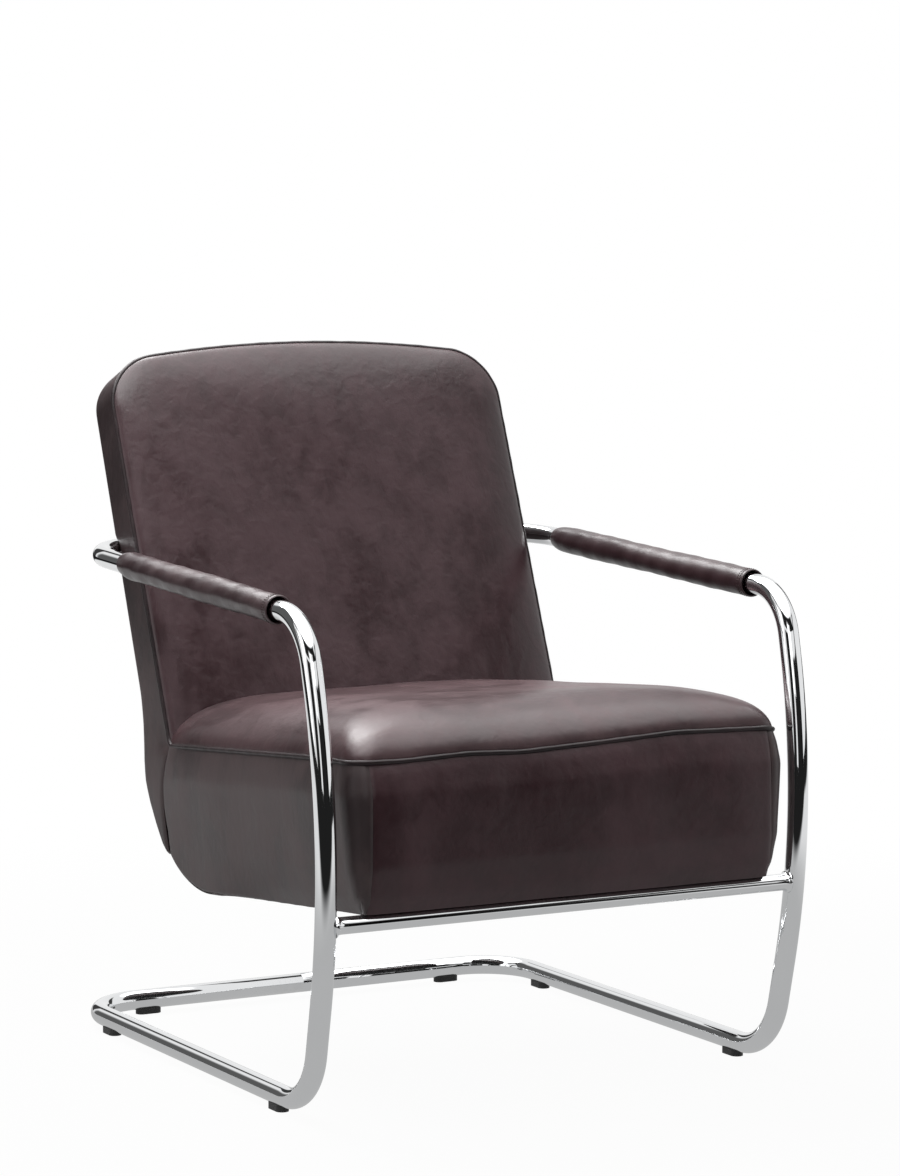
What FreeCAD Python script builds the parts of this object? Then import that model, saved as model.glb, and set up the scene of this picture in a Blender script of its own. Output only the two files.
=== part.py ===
"""Cantilever lounge chair, in millimetres.

X runs across the chair, +Y to the rear, +Z up. The sitter faces -Y. The origin is on the floor,
under the middle of the whole chair.

The seat and the back are one L-shaped upholstered unit. It is drawn in two tilted frames:
  seat frame: x, p to the rear along the seat's piping, q up from the piping
  back frame: x, s up along the back's piping, n to the front from the piping
"""
import FreeCAD
import Part
import math
import os

V = FreeCAD.Vector

# Steel frame
TUBE_D = 25.0
TUBE_WALL = 2.0
GLIDE_HEIGHT = 6.0
FLOOR_WIDTH = 623.6
ARM_WIDTH = 641.4
REAR_BAR_Y = 414.7
REAR_BEND = 75.0
LEG_FOOT_Y = -241.0
FLOOR_BEND = 83.5
LEG_LEAN_FORWARD = 12.95
KNEE_Z = 322.0
LEG_BOW = 818.0
LEG_LEAN_BACK = 13.5
ARM_FRONT_Z = 582.6
ARM_BEND = 71.5
ARM_RISE = 2.3
BACK_BAR_Y = 402.0
BACK_BEND = 109.0
TUBE_CLEARANCE = 0.4
SPIGOT_LENGTH = 90.0
SPIGOT_WALL = 2.0
CROSSBAR_D = 20.0
CROSSBAR_WALL = 1.8
CROSSBAR_Z = 235.5

# Glides
GLIDE_LENGTH = 34.0
GLIDE_WIDTH = 16.0
GLIDE_LIP = 2.5
GLIDE_STEM_R = 3.0
GLIDE_STEM_REACH = 8.0
GLIDE_FRONT_Y = -156.0
GLIDE_REAR_Y = 320.0
GLIDE_BAR_X = 219.0

# Arm sleeves
SLEEVE_D = 34.0
SLEEVE_WALL = 2.0
SLEEVE_FRONT_Y = -180.0
SLEEVE_REAR_Y_LEFT = 244.0
SLEEVE_REAR_Y_RIGHT = 288.0
SLEEVE_TAPER = 26.0
SLEEVE_HEM = 7.0

# Seat
LEATHER = 1.6
WADDING = 3.5
SEAT_FRONT_Y = -299.0
SEAT_FRONT_Z = 424.5
SEAT_TILT = 5.26
SEAT_DEPTH = 515.0
SEAT_LEG_GAP = 12.0
SEAT_CORNER = 28.0
SEAT_BULGE = 8.0
SEAT_TUCK = 16.0
SEAT_CROWN = 58.0
SEAT_NARROWING = 8.5
SEAM_INSET = 18.0
SEAT_FOAM = 56.0

# Back
BACK_LEAN = 21.8
BACK_LENGTH = 522.0
BACK_TOP_BOW = 14.0
BACK_CORNER = 66.0
BACK_TOP_DEPTH = 62.0
BACK_FOOT_DEPTH = 70.0
BACK_CROWN = 22.0
BACK_FOAM = 26.0
HEEL_LEAN = 12.8
HEEL_Z = 424.0
HEEL_RADIUS = 170.0
HEEL_KINK_RADIUS = 300.0
SEAM_SWAY = 13.0
SEAM_SWAY_DROP = 55.0
SEAM_FOOT_SHIFT = 6.0
REAR_PAD = 6.0
PIPING_D = 6.0
PIPING_TURN = 12.0

# Wooden frame
SIDE_BOARD = 18.0
SIDE_PAD = 20.0
BOARD_CORNER = 25.0
SEAT_RAIL = 30.0
FRONT_RAIL_SETBACK = 34.0
REAR_RAIL_SETBACK = 48.0
BACK_RAIL_DEPTH = 20.0
BACK_RAIL_HEIGHT = 55.0
TOP_RAIL_DROP = 20.0
FOOT_RAIL_LIFT = 12.0
BAR_RAIL_DEPTH = 18.0
BAR_RAIL_HEIGHT = 70.0
FELT = 4.0

# Springs
SPRING_WIRE_D = 3.6
SPRING_STEP = 24.0
SPRING_WIDTH = 50.0
SPRING_BEND = 11.0
SEAT_SPRING_COUNT = 5
BACK_SPRING_COUNT = 4
SPRING_SPACING = 92.0
CLIP_LENGTH = 16.0
CLIP_WIDTH = 12.0
CLIP_WALL = 1.5

# Fasteners
BOLT_D = 6.0
BOLT_HEAD_D = 12.0
BOLT_HEAD_H = 3.3
NUT_FLANGE_D = 19.0
NUT_FLANGE_H = 1.5
NUT_BARREL_D = 8.0
NUT_BARREL_L = 12.0
SEAT_BOLT_X = 165.0
BACK_BOLT_X = 150.0
TAB_WIDTH = 34.0
TAB_LENGTH = 28.0
TAB_THICKNESS = 3.0
TAB_NOTCH = 2.0
SPACER_D = 18.0
CLOTH = 1.2
CLOTH_INSET = 26.0
CLOTH_LAP = 14.0
CLOTH_REACH = 60.0

# Reach of cutting blocks, past anything in the chair
BEYOND = 400.0
FAR = 1500.0
REACH = 200.0
EVERYWHERE = (-FAR, FAR)

# Derived values
TUBE_R = TUBE_D / 2
CROSSBAR_R = CROSSBAR_D / 2
FLOOR_Z = GLIDE_HEIGHT + TUBE_R


def tan(degrees):
    return math.tan(math.radians(degrees))


def sin(degrees):
    return math.sin(math.radians(degrees))


def cos(degrees):
    return math.cos(math.radians(degrees))


# Leg corner points, seen from the side as (y, z)
KNEE_Y = LEG_FOOT_Y - (KNEE_Z - FLOOR_Z) * tan(LEG_LEAN_FORWARD)
LEG_TOP_Y = KNEE_Y + (ARM_FRONT_Z - KNEE_Z) * tan(LEG_LEAN_BACK)


def arm_z(y):
    """Height of the arm's centreline."""
    return ARM_FRONT_Z + (y - LEG_TOP_Y) * tan(ARM_RISE)


def frame_half(z):
    """Half the distance between the side tubes: the legs splay a little on their way up."""
    rise = (z - FLOOR_Z) / (ARM_FRONT_Z - FLOOR_Z)
    return (FLOOR_WIDTH + (ARM_WIDTH - FLOOR_WIDTH) * rise) / 2


def bend(before, corner, after, radius):
    """Start, middle, end and centre of the arc that rounds a corner."""
    inward = (corner - before).normalize()
    outward = (after - corner).normalize()
    half_turn = inward.getAngle(outward) / 2
    setback = radius * math.tan(half_turn)
    to_centre = (outward - inward).normalize()
    centre = corner + to_centre * (radius / math.cos(half_turn))
    return corner - inward * setback, centre - to_centre * radius, corner + outward * setback, centre


def leg_y(z):
    """Centreline of the leg at a height on its bow."""
    corners = [V(0, LEG_FOOT_Y, FLOOR_Z), V(0, KNEE_Y, KNEE_Z), V(0, LEG_TOP_Y, ARM_FRONT_Z)]
    centre = bend(*corners, LEG_BOW)[3]
    return centre.y - math.sqrt(LEG_BOW ** 2 - (z - centre.z) ** 2)


CROSSBAR_Y = leg_y(CROSSBAR_Z)
SEAT_HALF = frame_half(SEAT_FRONT_Z) - TUBE_R - SEAT_LEG_GAP - SEAT_BULGE
BACK_HALF = SEAT_HALF - SEAT_NARROWING
BOARD_X = BACK_HALF - LEATHER - SIDE_PAD
RAIL_X = BOARD_X - SIDE_BOARD
SEAT_FRAME = FreeCAD.Placement(V(0, SEAT_FRONT_Y, SEAT_FRONT_Z), FreeCAD.Rotation(V(1, 0, 0), -SEAT_TILT))
FOOT = SEAT_FRAME.multVec(V(0, SEAT_DEPTH, 0))
BACK_FRAME = FreeCAD.Placement(FOOT, FreeCAD.Rotation(V(1, 0, 0), 90 - BACK_LEAN))
BACK_TAPER = math.degrees(math.atan((BACK_FOOT_DEPTH - BACK_TOP_DEPTH) / BACK_LENGTH))
REAR_LEAN = BACK_LEAN - BACK_TAPER

# The seat's underside lies on the crossbar
CROSSBAR_IN_SEAT = SEAT_FRAME.inverse().multVec(V(0, CROSSBAR_Y, CROSSBAR_Z))
SEAT_BORDER = -CROSSBAR_IN_SEAT.z - CROSSBAR_R
SEAT_BOLT_P = CROSSBAR_IN_SEAT.y + CROSSBAR_R + BOLT_HEAD_D / 2 + 2

# The back bar in the back frame
BAR_IN_BACK = BACK_FRAME.inverse().multVec(V(0, BACK_BAR_Y, arm_z(BACK_BAR_Y)))
BAR_RAIL_REAR = BACK_FOOT_DEPTH - BAR_IN_BACK.y * tan(BACK_TAPER) - LEATHER - REAR_PAD
BAR_RAIL_FRONT = BAR_RAIL_REAR - BAR_RAIL_DEPTH

SPRING_R = SPRING_WIRE_D / 2
SEAT_DECK = SEAT_FOAM + FELT
SEAT_RAIL_TOP = SEAT_DECK + SPRING_WIRE_D
BACK_DECK = BACK_FOAM + FELT
BACK_RAIL_FRONT = BACK_DECK + SPRING_WIRE_D
FRONT_RAIL = (FRONT_RAIL_SETBACK, FRONT_RAIL_SETBACK + SEAT_RAIL)
REAR_RAIL = (SEAT_DEPTH - REAR_RAIL_SETBACK - SEAT_RAIL, SEAT_DEPTH - REAR_RAIL_SETBACK)
FOOT_RAIL = (FOOT_RAIL_LIFT, FOOT_RAIL_LIFT + BACK_RAIL_HEIGHT)
TOP_RAIL = (BACK_LENGTH - TOP_RAIL_DROP - BACK_RAIL_HEIGHT, BACK_LENGTH - TOP_RAIL_DROP)


# Curves

def straight(edges, start, end):
    if (end - start).Length > 0.01:
        edges.append(Part.LineSegment(start, end).toShape())


def open_path(points, radii):
    """Straight runs joined by tangent arcs at the inner points."""
    edges = []
    here = points[0]
    for index, radius in enumerate(radii, start=1):
        start, middle, end, centre = bend(points[index - 1], points[index], points[index + 1], radius)
        straight(edges, here, start)
        edges.append(Part.Arc(start, middle, end).toShape())
        here = end
    straight(edges, here, points[-1])
    return Part.Wire(edges)


def loop(points, radii):
    """Closed outline. A radius of 0 keeps a corner sharp."""
    count = len(points)
    corners = []
    for index, radius in enumerate(radii):
        if radius > 0:
            corners.append(bend(points[index - 1], points[index], points[(index + 1) % count], radius)[:3])
        else:
            corners.append((points[index], None, points[index]))
    edges = []
    for index, (start, middle, end) in enumerate(corners):
        if middle is not None:
            edges.append(Part.Arc(start, middle, end).toShape())
        straight(edges, end, corners[(index + 1) % count][0])
    return Part.Wire(edges)


def rod(path, radius):
    """Solid of round section along a path."""
    edge = path.OrderedEdges[0]
    start = edge.valueAt(edge.FirstParameter)
    along = edge.tangentAt(edge.FirstParameter)
    if edge.Orientation == "Reversed":
        start = edge.valueAt(edge.LastParameter)
        along = edge.tangentAt(edge.LastParameter) * -1
    ring = Part.Wire(Part.makeCircle(radius, start, along))
    return path.makePipeShell([ring], True, False)


def rod_between(start, end, radius):
    return Part.makeCylinder(radius, (end - start).Length, start, end - start)


def box(x, y, z):
    """Box from three (low, high) pairs."""
    return Part.makeBox(x[1] - x[0], y[1] - y[0], z[1] - z[0], V(x[0], y[0], z[0]))


def seat_box(x, p, q):
    return placed(box(x, p, q), SEAT_FRAME)


def back_box(x, s, n):
    return placed(box(x, s, n), BACK_FRAME)


def placed(shape, placement):
    shape = shape.copy()
    shape.Placement = placement.multiply(shape.Placement)
    return shape


def joined(shapes):
    """One solid from solids that touch."""
    return shapes[0].fuse(shapes[1:]).removeSplitter()


# Steel frame

def side_points(x_sign):
    """Corner points of one half of the frame, from the rear floor bar to the back bar."""
    floor = x_sign * frame_half(FLOOR_Z)
    return [
        V(0, REAR_BAR_Y, FLOOR_Z),
        V(floor, REAR_BAR_Y, FLOOR_Z),
        V(floor, LEG_FOOT_Y, FLOOR_Z),
        V(x_sign * frame_half(KNEE_Z), KNEE_Y, KNEE_Z),
        V(x_sign * frame_half(ARM_FRONT_Z), LEG_TOP_Y, ARM_FRONT_Z),
        V(x_sign * frame_half(ARM_FRONT_Z), BACK_BAR_Y, arm_z(BACK_BAR_Y)),
        V(0, BACK_BAR_Y, arm_z(BACK_BAR_Y)),
    ]


def frame_side(x_sign, radius):
    radii = [REAR_BEND, FLOOR_BEND, LEG_BOW, ARM_BEND, BACK_BEND]
    return rod(open_path(side_points(x_sign), radii), radius)


def glide_places():
    """Middle of each glide on the floor, and its turn about Z."""
    side = frame_half(FLOOR_Z)
    along_side = [(x, y, 90) for x in (-side, side) for y in (GLIDE_FRONT_Y, GLIDE_REAR_Y)]
    along_bar = [(x, REAR_BAR_Y, 0) for x in (-GLIDE_BAR_X, GLIDE_BAR_X)]
    return along_side + along_bar


def glide(x, y, turn):
    """Pad with a saddle for the tube and a stem pressed into the tube."""
    half_run = (GLIDE_LENGTH - GLIDE_WIDTH) / 2
    height = GLIDE_HEIGHT + GLIDE_LIP
    pad = box((-half_run, half_run), (-GLIDE_WIDTH / 2, GLIDE_WIDTH / 2), (0, height))
    ends = [Part.makeCylinder(GLIDE_WIDTH / 2, height, V(end, 0, 0)) for end in (-half_run, half_run)]
    tube = Part.makeCylinder(TUBE_R, 2 * GLIDE_LENGTH, V(-GLIDE_LENGTH, 0, FLOOR_Z), V(1, 0, 0))
    stem_top = GLIDE_HEIGHT + TUBE_WALL + GLIDE_STEM_REACH
    stem = Part.makeCylinder(GLIDE_STEM_R, stem_top, V(0, 0, 0))
    body = joined([joined([pad] + ends).cut(tube), stem])
    return placed(body, FreeCAD.Placement(V(x, y, 0), FreeCAD.Rotation(V(0, 0, 1), turn)))


def glide_holes():
    reach = FLOOR_Z
    return [Part.makeCylinder(GLIDE_STEM_R, reach, V(x, y, 0)) for x, y, turn in glide_places()]


def back_bolts(radius, low, high):
    """A cylinder on each back bolt's axis, between two depths in the back frame."""
    rods = []
    for x in (-BACK_BOLT_X, BACK_BOLT_X):
        start = BACK_FRAME.multVec(V(x, BAR_IN_BACK.y, low))
        end = BACK_FRAME.multVec(V(x, BAR_IN_BACK.y, high))
        rods.append(rod_between(start, end, radius))
    return rods


def seat_bolts(radius, low, high):
    """A cylinder on each seat bolt's axis, between two heights in the seat frame."""
    rods = []
    for x in (-SEAT_BOLT_X, SEAT_BOLT_X):
        start = SEAT_FRAME.multVec(V(x, SEAT_BOLT_P, low))
        end = SEAT_FRAME.multVec(V(x, SEAT_BOLT_P, high))
        rods.append(rod_between(start, end, radius))
    return rods


def crossbar_tabs(notch):
    """Tabs behind the crossbar, below the seat, made wider by a notch."""
    start = CROSSBAR_IN_SEAT.y
    tabs = []
    for x in (-SEAT_BOLT_X, SEAT_BOLT_X):
        sides = (x - TAB_WIDTH / 2 - notch, x + TAB_WIDTH / 2 + notch)
        ends = (start, start + TAB_LENGTH + notch)
        tabs.append(seat_box(sides, ends, (-SEAT_BORDER - TAB_THICKNESS, -SEAT_BORDER)))
    return tabs


def make_frame():
    nodes = {}
    outer = {}
    for name, sign in (("left", -1), ("right", 1)):
        outer[name] = frame_side(sign, TUBE_R)
        tube = outer[name].cut(frame_side(sign, TUBE_R - TUBE_WALL))
        bolt_holes = back_bolts(BOLT_D / 2, BAR_IN_BACK.z - TUBE_D, BAR_IN_BACK.z + TUBE_D)
        nodes["frame_tube_" + name] = tube.cut(glide_holes() + bolt_holes)
    half = SPIGOT_LENGTH / 2
    for name, y, z in (("floor", REAR_BAR_Y, FLOOR_Z), ("back", BACK_BAR_Y, arm_z(BACK_BAR_Y))):
        plug = rod_between(V(-half, y, z), V(half, y, z), TUBE_R - TUBE_WALL)
        bore = rod_between(V(-half, y, z), V(half, y, z), TUBE_R - TUBE_WALL - SPIGOT_WALL)
        nodes[name + "_bar_spigot"] = plug.cut(bore)
    end = frame_half(CROSSBAR_Z)
    ends = [V(x, CROSSBAR_Y, CROSSBAR_Z) for x in (-end, end)]
    bar = rod_between(*ends, CROSSBAR_R)
    bore = rod_between(*ends, CROSSBAR_R - CROSSBAR_WALL)
    nodes["front_crossbar"] = bar.cut([bore, outer["left"], outer["right"]])
    tabs = Part.makeCompound(crossbar_tabs(0)).cut(bar)
    holes = seat_bolts(BOLT_D / 2, -SEAT_BORDER - TAB_THICKNESS, -SEAT_BORDER)
    nodes["crossbar_tabs"] = tabs.cut(holes)
    nodes["glides"] = Part.makeCompound([glide(*place) for place in glide_places()])
    return nodes


# Arm sleeves

def arm_line(sign, front_y, rear_y):
    x = sign * frame_half(ARM_FRONT_Z)
    return V(x, front_y, arm_z(front_y)), V(x, rear_y, arm_z(rear_y))


def sleeve_body(sign, front_y, rear_y, radius, neck):
    """Round bar along the arm that draws in to a neck at its rear end."""
    front, full = arm_line(sign, front_y, rear_y - SLEEVE_TAPER)
    rear = arm_line(sign, front_y, rear_y)[1]
    barrel = rod_between(front, full, radius)
    cone = Part.makeCone(radius, neck, (rear - full).Length, full, rear - full)
    return joined([barrel, cone])


def make_sleeves():
    nodes = {}
    outer_r = SLEEVE_D / 2
    inner_r = outer_r - SLEEVE_WALL
    pad_front = SLEEVE_FRONT_Y + SLEEVE_HEM
    for name, sign, rear_y in (("left", -1, SLEEVE_REAR_Y_LEFT), ("right", 1, SLEEVE_REAR_Y_RIGHT)):
        tube = frame_side(sign, TUBE_R)
        outer = sleeve_body(sign, SLEEVE_FRONT_Y, rear_y, outer_r, TUBE_R + SLEEVE_WALL)
        inner = sleeve_body(sign, SLEEVE_FRONT_Y, rear_y, inner_r, TUBE_R)
        pad = sleeve_body(sign, pad_front, rear_y, inner_r, TUBE_R)
        nodes["arm_sleeve_" + name] = outer.cut([inner, tube])
        nodes["arm_pad_" + name] = pad.cut(tube)
    return nodes


# Outlines of the cushions

# Share of the border's drop, share of the bulge, share of the tuck
SIDE_SHAPE = (
    (0.0, 0.0, 0.0), (0.08, 0.55, 0.0), (0.22, 1.0, 0.0), (0.40, 0.72, 0.0),
    (0.60, 0.30, 0.0), (0.77, 0.0, 0.10), (0.90, 0.0, 0.44), (1.0, 0.0, 1.0),
)

# Distance in from the piping, share of the crown's height
CROWN_SHAPE = ((0.0, 0.0), (3.0, 0.22), (12.0, 0.47), (32.0, 0.70), (70.0, 0.88), (120.0, 0.97), (170.0, 1.0))
CROWN_SOFTENING = 0.25
SMALL_CORNER = 3.0


def seat_outline(inset, q, corner):
    """Seat seen from above at a height q. Its rear is left long, for the back to cut."""
    length = SEAT_DEPTH + BEYOND
    front = SEAT_HALF - inset
    rear = front - SEAT_NARROWING * length / SEAT_DEPTH
    points = [V(rear, length, q), V(-rear, length, q), V(-front, inset, q), V(front, inset, q)]
    return loop(points, [0, 0, corner, corner])


def seat_block(inset):
    """Seat below its piping: it swells under the piping and tucks in at the bottom."""
    wires = []
    for drop, bulge, tuck in SIDE_SHAPE:
        swell = SEAT_BULGE * bulge - SEAT_TUCK * tuck
        corner = max(SEAT_CORNER + swell - inset, SMALL_CORNER)
        wires.append(seat_outline(inset - swell, -SEAT_BORDER * drop, corner))
    return placed(Part.makeLoft(wires, True, False), SEAT_FRAME)


def top_run(half, corner):
    """Slope of the bowed top's sides, and their length from the corner's arc to the middle."""
    slope = 2 * BACK_TOP_BOW / (BACK_HALF - BACK_CORNER)
    return slope, half / math.cos(slope) - corner * math.tan((math.pi / 2 - slope) / 2)


def back_corners(inset, corner):
    """Corners of the bowed top in the back frame: half width, shoulder, crest and the bow's radius."""
    slope, run = top_run(BACK_HALF, BACK_CORNER)
    crest = BACK_LENGTH + run * math.tan(slope / 2) - inset / math.cos(slope)
    half = BACK_HALF - inset
    bow = top_run(half, corner)[1] / math.tan(slope)
    return half, crest - half * math.tan(slope), crest, bow


def back_outline(inset, n, corner):
    """Back seen from the front: round top corners and a bowed top. Its foot is left long."""
    half, shoulder, crest, bow = back_corners(inset, corner)
    left = [V(-half, -BEYOND, n), V(-half, shoulder, n)]
    right = [V(half, shoulder, n), V(half, -BEYOND, n)]
    return loop(left + [V(0, crest, n)] + right, [0, corner, bow, corner, 0])


def crown(outline, height, corner, half, thickness):
    """Pillow on an outline, made thinner all round by a thickness."""
    wires = []
    for inset, share in CROWN_SHAPE:
        drop = thickness if share > 0 else 0
        room = half - inset - thickness
        radius = min(corner - thickness + CROWN_SOFTENING * inset, 0.75 * room)
        wires.append(outline(inset + thickness, height * share - drop, radius))
    return Part.makeLoft(wires, True, False)


def seat_crown(thickness):
    return placed(crown(seat_outline, SEAT_CROWN, SEAT_CORNER, SEAT_HALF, thickness), SEAT_FRAME)


def back_crown(thickness):
    return placed(crown(back_outline, BACK_CROWN, BACK_CORNER, BACK_HALF, thickness), BACK_FRAME)


# Side view of the whole unit

def cross(first, second):
    """Point where two lines meet, each a point and a direction in the YZ plane."""
    point, along = first
    other, across = second
    det = along.y * across.z - along.z * across.y
    gap = other - point
    return point + along * ((gap.y * across.z - gap.z * across.y) / det)


def outward(line, distance):
    """The same line moved out of the unit, which lies to its right."""
    point, along = line
    return point + V(0, -along.z, along.y) * distance, along


def outer_lines():
    """Top, rear, heel and bottom of the unit, going round it."""
    crest = BACK_FRAME.multVec(V(0, BACK_LENGTH + BACK_TOP_BOW, 0))
    foot_rear = BACK_FRAME.multVec(V(0, 0, -BACK_FOOT_DEPTH))
    heel_top = foot_rear + V(0, tan(REAR_LEAN), 1) * (HEEL_Z - foot_rear.z)
    return (
        (crest, V(0, cos(BACK_LEAN), -sin(BACK_LEAN))),
        (foot_rear, V(0, -sin(REAR_LEAN), -cos(REAR_LEAN))),
        (heel_top, V(0, -sin(HEEL_LEAN), -cos(HEEL_LEAN))),
        (SEAT_FRAME.multVec(V(0, 0, -SEAT_BORDER)), V(0, -cos(SEAT_TILT), sin(SEAT_TILT))),
    )


def side_slab(half, inset, deck, face, setback, inner_corner=0):
    """The L seen from the side, as wide as twice a half.

    The outer lines are inset. The seat starts a deck below the piping and a setback behind it, and
    the back starts a face behind its piping.
    """
    top, rear, heel, bottom = [outward(line, -inset) for line in outer_lines()]
    deck_line = (SEAT_FRAME.multVec(V(0, 0, -deck)), V(0, cos(SEAT_TILT), -sin(SEAT_TILT)))
    face_line = (BACK_FRAME.multVec(V(0, 0, -face)), V(0, sin(BACK_LEAN), cos(BACK_LEAN)))
    front_line = (SEAT_FRAME.multVec(V(0, setback, 0)), V(0, sin(SEAT_TILT), cos(SEAT_TILT)))
    lines = [front_line, deck_line, face_line, top, rear, heel, bottom, front_line]
    points = [cross(before, after) for before, after in zip(lines[:-1], lines[1:])]
    radii = [0, inner_corner, 0, 0, HEEL_KINK_RADIUS - inset, HEEL_RADIUS - inset, 0]
    side = Part.Face(loop([point - V(half, 0, 0) for point in points], radii))
    return side.extrude(V(2 * half, 0, 0))


def front_view(inset):
    """Everything inside the back's outline seen from the front, inset all round."""
    face = placed(Part.Face(back_outline(inset, BEYOND, BACK_CORNER - inset)), BACK_FRAME)
    return face.extrude(BACK_FRAME.Rotation.multVec(V(0, 0, -2 * BEYOND)))


def unit(inset):
    """The upholstered unit without its two crowns, inset all round but not at the seat's top.

    The rear corners of the back are hollowed where the tube's bends lie in them.
    """
    seat = seat_block(inset).common(side_slab(FAR, inset, -REACH, -REACH, -REACH))
    back = side_slab(FAR, inset, -REACH, -REACH, 0).common(front_view(inset))
    back = back.common(seat_box(EVERYWHERE, EVERYWHERE, (0, FAR)))
    whole = joined([seat, back.common(back_box(EVERYWHERE, EVERYWHERE, (-FAR, 0)))])
    hollows = [frame_side(sign, TUBE_R + TUBE_CLEARANCE + inset) for sign in (-1, 1)]
    return largest(whole.cut(hollows))


def behind_seam():
    """Space behind the seam that runs down each side from the foot of the back."""
    top = V(-FAR, FOOT.y, FOOT.z)
    middle = top + V(0, SEAM_SWAY, -SEAM_SWAY_DROP)
    foot = top + V(0, -SEAM_FOOT_SHIFT, -SEAT_BORDER)
    along_back = top + V(0, sin(BACK_LEAN), cos(BACK_LEAN)) * FAR
    corners = [foot, V(-FAR, foot.y, -FAR), V(-FAR, FAR, -FAR), V(-FAR, FAR, along_back.z), along_back, top]
    edges = [Part.Arc(top, middle, foot).toShape()]
    for start, end in zip(corners[:-1], corners[1:]):
        straight(edges, start, end)
    return Part.Face(Part.Wire(edges)).extrude(V(2 * FAR, 0, 0))


def largest(shape):
    return max(shape.Solids, key=lambda solid: solid.Volume)


# Leather

def piping_path():
    """One loop: round the seat's front, along its sides, up the back's sides and over its top."""
    half, shoulder, crest, bow = back_corners(0, BACK_CORNER)
    front = [SEAT_FRAME.multVec(V(x, 0, 0)) for x in (-SEAT_HALF, 0, SEAT_HALF)]
    foot = [SEAT_FRAME.multVec(V(x, SEAT_DEPTH, 0)) for x in (-half, half)]
    top = [BACK_FRAME.multVec(V(x, s, 0)) for x, s in ((-half, shoulder), (0, crest), (half, shoulder))]
    points = [front[1], front[0], foot[0]] + top + [foot[1], front[2], front[1]]
    radii = [SEAT_CORNER, PIPING_TURN, BACK_CORNER, bow, BACK_CORNER, PIPING_TURN, SEAT_CORNER]
    return open_path(points, radii)


def above_deck(depth):
    return seat_box(EVERYWHERE, EVERYWHERE, (-depth, FAR))


def make_leather(outside, inside):
    nodes = {}
    piping = rod(piping_path(), PIPING_D / 2)
    rear_zone = behind_seam()
    skin = outside.cut([inside, piping])
    open_bottom = seat_box((-BOARD_X, BOARD_X), (FRONT_RAIL_SETBACK, FAR), (-FAR, -SEAT_FOAM))
    seat_skin = skin.cut([rear_zone, open_bottom])
    seat_front = SEAT_HALF - SEAM_INSET
    front_zone = seat_box((-seat_front, seat_front), (-BEYOND, SEAT_CORNER), (-BEYOND, BEYOND))
    nodes["seat_front_border"] = largest(seat_skin.common(front_zone))
    sides = seat_skin.cut(front_zone)
    nodes["seat_side_cover_left"] = largest(sides.common(box((-FAR, 0), EVERYWHERE, EVERYWHERE)))
    nodes["seat_side_cover_right"] = largest(sides.common(box((0, FAR), EVERYWHERE, EVERYWHERE)))
    holes = back_bolts(BOLT_D / 2, BAR_IN_BACK.z, 0)
    nodes["back_shell_cover"] = largest(skin.common(rear_zone).cut(holes))
    pillow = back_crown(0)
    behind_face = back_box(EVERYWHERE, EVERYWHERE, (-FAR, 0))
    nodes["seat_top_cover"] = largest(seat_crown(0).cut([seat_crown(LEATHER), pillow, behind_face, piping]))
    back_skin = pillow.cut([back_crown(LEATHER), piping]).common(above_deck(SEAT_FOAM))
    nodes["back_front_cover"] = largest(back_skin)
    nodes["piping"] = piping
    nodes["bottom_cloth"] = bottom_cloth()
    return nodes


def bottom_cloth():
    """Black cloth under the seat, lapped up the heel, notched round the crossbar's tabs."""
    half = BACK_HALF - SEAT_TUCK
    band = side_slab(half, -CLOTH, 0, 0, -BEYOND).cut(side_slab(FAR, 0, 0, 0, -2 * BEYOND))
    ends = (CROSSBAR_IN_SEAT.y + CROSSBAR_R, SEAT_DEPTH + CLOTH_LAP)
    heights = (-SEAT_BORDER - CLOTH_REACH, -SEAT_BORDER + CLOTH_REACH)
    return band.common(seat_box(EVERYWHERE, ends, heights)).cut(crossbar_tabs(TAB_NOTCH))


# Wood, springs and padding

def make_wood():
    nodes = {}
    inset = LEATHER + REAR_PAD
    boards = side_slab(BOARD_X, inset, SEAT_FOAM, BACK_FOAM, FRONT_RAIL_SETBACK, BOARD_CORNER)
    boards = boards.common(front_view(inset))
    nodes["side_board_left"] = boards.common(box((-BOARD_X, -RAIL_X), EVERYWHERE, EVERYWHERE))
    nodes["side_board_right"] = boards.common(box((RAIL_X, BOARD_X), EVERYWHERE, EVERYWHERE))
    span = (-RAIL_X, RAIL_X)
    inserts = seat_bolts(NUT_BARREL_D / 2, -SEAT_BORDER, -SEAT_BORDER + NUT_BARREL_L)
    front_rail = seat_box(span, FRONT_RAIL, (-SEAT_BORDER, -SEAT_RAIL_TOP))
    nodes["front_rail"] = front_rail.cut(inserts)
    rear_bottom = -SEAT_BORDER + inset
    nodes["rear_rail"] = seat_box(span, REAR_RAIL, (rear_bottom, -SEAT_RAIL_TOP))
    depth = (-BACK_RAIL_FRONT - BACK_RAIL_DEPTH, -BACK_RAIL_FRONT)
    nodes["back_foot_rail"] = back_box(span, FOOT_RAIL, depth)
    nodes["back_top_rail"] = back_box(span, TOP_RAIL, depth).common(inside_boards())
    heights = (BAR_IN_BACK.y - BAR_RAIL_HEIGHT / 2, BAR_IN_BACK.y + BAR_RAIL_HEIGHT / 2)
    bar_rail = back_box(span, heights, (-BAR_RAIL_REAR, -BAR_RAIL_FRONT)).common(inside_boards())
    nut = back_bolts(NUT_BARREL_D / 2, -BAR_RAIL_FRONT - NUT_BARREL_L, -BAR_RAIL_FRONT)
    shank = back_bolts(BOLT_D / 2, -BAR_RAIL_REAR - REAR_PAD, -BAR_RAIL_FRONT)
    nodes["bar_rail"] = bar_rail.cut(nut + shank)
    return nodes


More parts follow.
